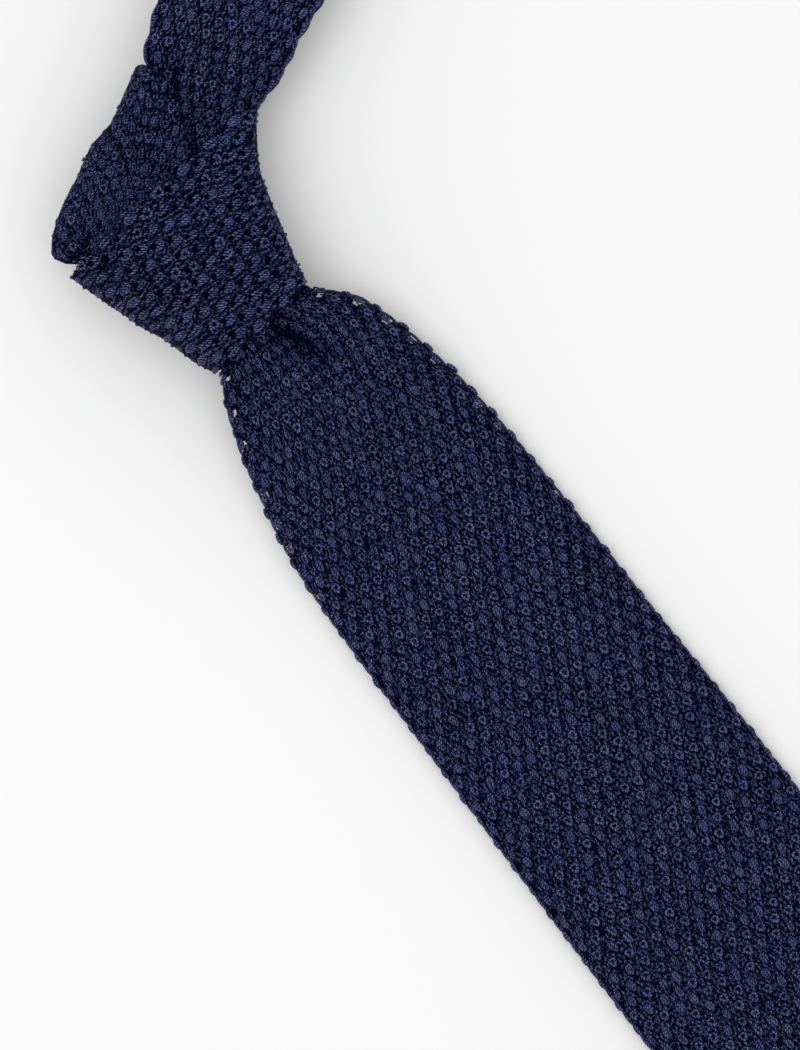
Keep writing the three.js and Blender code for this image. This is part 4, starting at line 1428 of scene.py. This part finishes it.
# painted shade: the knot's openings are nearly black dashes
opening_shade, _ = new_material("opening", 0.9, 0.02, (0.0004, 0.001, 0.007))
print("materials:", yarn.name, opening_shade.name)

# %% Knitting one side
EDGE_KIND = 3
# of the stitches that aren't open, so many are closed and so many narrow
CLOSED_PART, NARROW_PART = 0.6, 0.4


def store(mesh, name, kind, field, values):
    mesh.attributes.new(name, kind, "POINT").data.foreach_set(field, values.ravel())


def knit_on(name, laid, stitch, open_share=0.5, **sizes):
    """A mesh of real stitches on laid-out places."""
    count = len(laid["place"])
    mesh = bpy.data.meshes.new(name)
    mesh.from_pydata((laid["place"] * MM).tolist(), [], [])
    for key in ("wale", "out", "size"):
        store(mesh, key, "FLOAT_VECTOR", "vector", laid[key].astype(np.float32))
    shares = (open_share, CLOSED_PART * (1 - open_share), NARROW_PART * (1 - open_share))
    kinds = rng.choice(EDGE_KIND, count, p=shares)
    store(mesh, "kind", "INT", "value", np.where(laid["edge"], EDGE_KIND, kinds).astype(np.int32))
    # each stitch's random dye tone and hue, plus the painted shade laid out for it
    for key in ("dye_and_shade", "hue_and_shade"):
        values = (rng.normal(0, 1, count) + laid[key]).astype(np.float32)
        store(mesh, key, "FLOAT", "value", values)
    piece = bpy.data.objects.new(name, mesh)
    bpy.context.collection.objects.link(piece)
    modifier = piece.modifiers.new("knit", "NODES")
    modifier.node_group = KNIT_TREE
    wanted = {"Stitches": stitch, "Yarn": yarn, **sizes}
    for item in KNIT_TREE.interface.items_tree:
        if item.in_out == "INPUT" and item.name in wanted:
            modifier[item.identifier] = wanted[item.name]
    graph = bpy.context.evaluated_depsgraph_get()
    graph.update()
    real = bpy.data.meshes.new_from_object(piece.evaluated_get(graph))
    piece.modifiers.clear()
    piece.data = real
    bpy.data.meshes.remove(mesh)
    print(name, count, "stitches,", sum(len(face.vertices) - 2 for face in real.polygons), "triangles")
    return piece


# %% [markdown]
# ## The edge yarn
# Along both edges of the blade the yarn turns back into the cloth and makes a
# soft wave. It closes the small holes beside the outermost stitches. A curve
# with a bevel would do as well, but the tubes of the stitches are at hand and
# carry the length of their yarn, which the colour needs.

# %% The blade's edge yarn
EDGE_YARN = 0.34
EDGE_SIDES = 5
YARN_STEP = 0.9
EDGE_WAVE = 0.35
EDGE_OUT = 0.05
# where the wave starts at the left and at the right edge
WAVE_LEFT = -0.49
WAVE_RIGHT = 6.64
END_POINTS = 60
END_WAVE = 0.2
END_DROP = 1.3


def edge_line(side, shift):
    """The wavy line of yarn along one of the blade's edges."""
    points = []
    for down in np.arange(0.5, BLADE_LENGTH - 1, YARN_STEP):
        row = blade_row(down, np.array((-0.98, 0.0, 0.98)))[0]
        wave = 0.5 * (1 - math.cos(2 * math.pi * (down - shift) / STITCH_LENGTH))
        point = row[0 if side < 0 else 2].copy()
        point[0] -= side * (EDGE_WAVE * (1 - wave) - EDGE_OUT)
        points.append(point)
    return np.array(points)


def end_line(row):
    """The bound-off end of the blade, as a line of yarn across it."""
    across = np.linspace(-0.95, 0.95, END_POINTS)
    line = skin_point(blade_front, np.full(END_POINTS, float(row)), across)
    line[:, 2] += END_WAVE * np.cos(np.arange(END_POINTS) * math.pi) - EDGE_YARN
    return line


edge_lines = [
    end_line(BLADE_LENGTH - 0.5),
    end_line(BLADE_LENGTH - 0.9) - np.array((0, 0, END_DROP)),
    edge_line(-1, WAVE_LEFT),
    edge_line(1, WAVE_RIGHT),
]
edge_yarn = yarn_object("blade_edge_yarn", [tube(line, EDGE_YARN, EDGE_SIDES) for line in edge_lines])
edge_yarn.data.materials.append(yarn)
print_box(edge_yarn)

# %% The neck loop's edge yarn
NECK_WAVE = 0.3
NECK_INWARD = 0.15
neck_middle = (neck_full, neck_along, fine)
neck_tubes = []
for share, shift in ((-0.975, 0), (0.975, 3.3)):
    along = np.arange(neck_along[3], neck_along[-4], YARN_STEP)
    line = skin_point(neck_middle, along, np.full(len(along), share))
    wave = NECK_WAVE * np.cos(2 * math.pi * (along - shift) / NECK_LENGTH) - NECK_INWARD
    inward = unit(skin_point(neck_middle, along, np.full(len(along), 0.0)) - line)
    neck_tubes.append(tube(line - inward * wave[:, None], EDGE_YARN, EDGE_SIDES))
neck_edge_yarn = yarn_object("neck_edge_yarn", neck_tubes)
neck_edge_yarn.data.materials.append(yarn)
print_box(neck_edge_yarn)

# %% [markdown]
# ## Every side knitted
# The pulled cloth of the knot has an opening beside each stitch, dark because
# little light gets in. Real holes would need a Boolean each, so a small dash of
# painted shade lies there instead. Then every side gets its stitches. The sides
# that lie on the ground get a plainer stitch.

# %% Openings on the knot
FACING = 0.8
OPENING_ALONG, OPENING_BESIDE, OPENING_OUT = 2.15, 1.05, 0.3
facing = np.abs(knot_front_stitches["out"][:, 2]) > FACING
knot_openings = share_of(knot_front_stitches, facing)
wale, out = knot_openings["wale"], knot_openings["out"]
moved_along = knot_openings["place"] + OPENING_ALONG * wale
knot_openings["place"] = moved_along + OPENING_BESIDE * np.cross(wale, out) + OPENING_OUT * out
print("openings:", int(facing.sum()))

# %% Knitting every side
# the blade's front comes in three pieces, which keeps each of them light
UPPER_END, MIDDLE_END = -200, -350
KNOT_OPEN = 0.15
FOLD_OPEN = 0.3
OPENING_SIZES = {"Yarn": opening_shade, "Random Size": 0.3}
blade_y = blade_front_stitches["place"][:, 1]
upper, lower = blade_y > UPPER_END, blade_y <= MIDDLE_END
stitch_pieces = [
    knit_on("blade_stitches_upper", share_of(blade_front_stitches, upper), full_stitch),
    knit_on("blade_stitches_middle", share_of(blade_front_stitches, ~upper & ~lower), full_stitch),
    knit_on("blade_stitches_lower", share_of(blade_front_stitches, lower), full_stitch),
    knit_on("blade_stitches_back", blade_back_stitches, plain_stitch),
    knit_on("knot_stitches", knot_front_stitches, full_stitch, KNOT_OPEN),
    knit_on("knot_stitches_back", knot_back_stitches, plain_stitch),
    knit_on("knot_openings", knot_openings, opening, **OPENING_SIZES),
    knit_on("fold_stitches", fold_stitches, full_stitch, FOLD_OPEN),
    knit_on("neck_stitches_upper", neck_upper_stitches, full_stitch),
    knit_on("neck_stitches_lower", neck_lower_stitches, plain_stitch),
    knit_on("tail_stitches", tail_stitches, plain_stitch),
    edge_yarn,
    neck_edge_yarn,
]

# %% The shapes have done their work
for shape in full_stitches + plain_stitches + opening_shapes:
    bpy.data.objects.remove(shape)
for folder in (full_stitch, plain_stitch, opening):
    bpy.data.collections.remove(folder)

# %% [markdown]
# ## The colour of the yarn
# Silk yarn is twisted from plies, which catch the light in turn, and no two
# stitches are dyed quite alike. An image of silk could be wrapped round it, but
# the twist has to follow each little tube, so the colour is made from the yarn's
# length and turn as painted highlights along the twist, a fine noise of painted
# glints, painted light on each tube's crest and painted shade on its flanks, and
# a tone and a hue that every stitch got by chance, with painted shade added in
# the hollow under the knot and on the knot's left side.

# %% How light the yarn is
# painted highlights: light stripes along the yarn's twist, where its plies catch the light
PLY_TURN = 0.62
PLY_SHADE = 0.42
# painted glints: a fine noise of small light and dark spots on the yarn
GLINT_SCALE = 1900
GLINT_SHADE, GLINT_SHIFT = 1.0, -0.14
TONE_SHADE = 0.022
# painted light and shade: each tube of yarn is lighter on its crest and darker on its flanks
CREST_SHADE, CREST_SHIFT = 0.17, -0.08
yarn_tree = yarn.node_tree


def named(kind, name):
    """What the mesh carries under a name."""
    found = yarn_tree.nodes.new("ShaderNodeAttribute")
    found.attribute_name = name
    return found.outputs[kind]


def counted(operation, *values):
    return math_node(yarn_tree, operation, *values)


def noise(tree, scale, detail):
    """A fine noise that stays with the object."""
    place = tree.nodes.new("ShaderNodeTexCoord")
    made = tree.nodes.new("ShaderNodeTexNoise")
    made.inputs["Scale"].default_value = scale
    made.inputs["Detail"].default_value = detail
    tree.links.new(place.outputs["Object"], made.inputs["Vector"])
    return made.outputs[0]


split = yarn_tree.nodes.new("ShaderNodeSeparateXYZ")
yarn_tree.links.new(named("Vector", "yarn_uv"), split.inputs[0])
length_along, turn_round = split.outputs[:2]
twist = counted("ADD", counted("DIVIDE", length_along, PLY_TURN), counted("MULTIPLY", turn_round, 2))
ply = counted("MULTIPLY_ADD", counted("SINE", counted("MULTIPLY", twist, 2 * math.pi)), 0.5, 0.5)
glints = counted("MULTIPLY_ADD", noise(yarn_tree, GLINT_SCALE, 1), GLINT_SHADE, GLINT_SHIFT)
shade = counted("ADD", counted("MULTIPLY", ply, PLY_SHADE), glints)
shade = counted("ADD", shade, counted("MULTIPLY", named("Fac", "dye_and_shade"), TONE_SHADE))
# painted light on the crest of each tube, painted shade on its flanks
crest = counted("SINE", counted("MULTIPLY", turn_round, 2 * math.pi))
shade = counted("ADD", shade, counted("MULTIPLY_ADD", crest, CREST_SHADE, CREST_SHIFT))
print("nodes of the yarn:", len(yarn_tree.nodes))

# %% Its blues, from painted shade to painted highlight
# the ramp's dark end is painted shade and its light end painted highlight; the middle is the yarn's own blue
YARN_SHADE = (0.42, (0.001, 0.003, 0.022))
YARN_MIDDLE = (0.62, (0.02, 0.025, 0.085))
YARN_HIGHLIGHT = (0.88, (0.125, 0.14, 0.28))
HUE_TINT = 0.004
FADE_TINT, FULL_COLOUR = -0.06, 1.06


def colour_ramp(tree, shade, dark, light):
    """A colour that runs from dark to light with a shade."""
    made = tree.nodes.new("ShaderNodeValToRGB")
    for element, (position, colour) in zip(made.color_ramp.elements, (dark, light)):
        element.position = position
        element.color = (*colour, 1)
    tree.links.new(shade, made.inputs[0])
    return made


blues = colour_ramp(yarn_tree, shade, YARN_SHADE, YARN_HIGHLIGHT)
blues.color_ramp.elements.new(YARN_MIDDLE[0]).color = (*YARN_MIDDLE[1], 1)
tinted = yarn_tree.nodes.new("ShaderNodeHueSaturation")
hue_and_shade = named("Fac", "hue_and_shade")
yarn_tree.links.new(counted("MULTIPLY_ADD", hue_and_shade, HUE_TINT, 0.5), tinted.inputs["Hue"])
yarn_tree.links.new(counted("MULTIPLY_ADD", hue_and_shade, FADE_TINT, FULL_COLOUR), tinted.inputs["Saturation"])
yarn_tree.links.new(blues.outputs[0], tinted.inputs["Color"])
yarn_tree.links.new(tinted.outputs[0], yarn_surface.inputs["Base Color"])
print("colours of the yarn:", len(blues.color_ramp.elements))

# %% [markdown]
# ## The colour between the stitches
# Between the stitches one sees into the cloth, where little light gets in, so its
# ground is painted nearly black as painted shade, with a few lighter threads. One
# dark blue would be simpler, but it looks like paint, so a fine noise picks out
# threads. In the hollow under the knot the ground is painted darker still, as
# painted shade, so fewer threads show.

# %% The ground of the knit
THREAD_SCALE = 1700
GAP_SHADE = (0.57, (0.0004, 0.0012, 0.01))
THREAD_LIGHT = (0.69, (0.03, 0.038, 0.11))
HOLLOW_GROUND_SHADE = -0.18
# the ground's near-black is painted shade between the stitches
knit, knit_surface = new_material("knit", 0.8, 0.04)
knit_tree = knit.node_tree
ground_hollow_shade = knit_tree.nodes.new("ShaderNodeAttribute")
ground_hollow_shade.attribute_name = "hollow"
threads = noise(knit_tree, THREAD_SCALE, 0)
thread_shade = math_node(knit_tree, "MULTIPLY_ADD", ground_hollow_shade.outputs["Fac"], HOLLOW_GROUND_SHADE, threads)
ground = colour_ramp(knit_tree, thread_shade, GAP_SHADE, THREAD_LIGHT)
knit_tree.links.new(ground.outputs[0], knit_surface.inputs["Base Color"])
for piece in cloths:
    piece.data.materials.append(knit)
print("nodes of the ground:", len(knit_tree.nodes))

# %% [markdown]
# ## Floor and light
# The tie lies on a white ground under soft light, with a faint shadow beside
# it. A picture of a room could light it, but a bright even world and one large
# lamp at the left make such a shadow too, and both are easy to set.

# %% Floor
FLOOR_SIZE = 3
FLOOR_WHITE = (0.93, 0.93, 0.93)
corner = FLOOR_SIZE / 2
floor_corners = [(x * corner, y * corner, 0) for x, y in ((-1, -1), (1, -1), (1, 1), (-1, 1))]
floor_mesh = bpy.data.meshes.new("floor")
floor_mesh.from_pydata(floor_corners, [], [(0, 1, 2, 3)])
floor = bpy.data.objects.new("floor", floor_mesh)
bpy.context.collection.objects.link(floor)
floor_mesh.materials.append(new_material("pale_floor", 0.9, colour=FLOOR_WHITE)[0])
print("floor:", FLOOR_SIZE, "m wide")

# %% Light
WORLD_STRENGTH = 0.91
world = bpy.data.worlds.new("studio")
world.use_nodes = True
world.node_tree.nodes["Background"].inputs["Color"].default_value = (1, 1, 1, 1)
world.node_tree.nodes["Background"].inputs["Strength"].default_value = WORLD_STRENGTH
bpy.context.scene.world = world
lamp_data = bpy.data.lights.new("softbox", "AREA")
lamp_data.size = 0.8
lamp_data.energy = 2.4
lamp = bpy.data.objects.new("softbox", lamp_data)
lamp.location = (-0.45, 0.35, 1.1)
lamp.rotation_euler = (math.radians(-18), math.radians(-22), 0)
bpy.context.collection.objects.link(lamp)
print("lamp at", tuple(round(value, 2) for value in lamp.location), "m")

# %% [markdown]
# ## Ride on the frame
# The tie is one body, so every piece rides on its root. The four cloths stand
# for the four strips of the solids.

# %% Ride on the frame
for piece, node in zip(cloths, ("front_blade", "tail_blade", "neck_loop", "knot_wrap")):
    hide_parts(node)
for piece in cloths + stitch_pieces:
    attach(piece, "root")
with_blade = ["blade_stitches_upper", "blade_stitches_middle", "blade_stitches_lower", "blade_stitches_back"]
with_blade += ["fold_stitches", "blade_edge_yarn"]
print("pieces:", len(cloths + stitch_pieces))
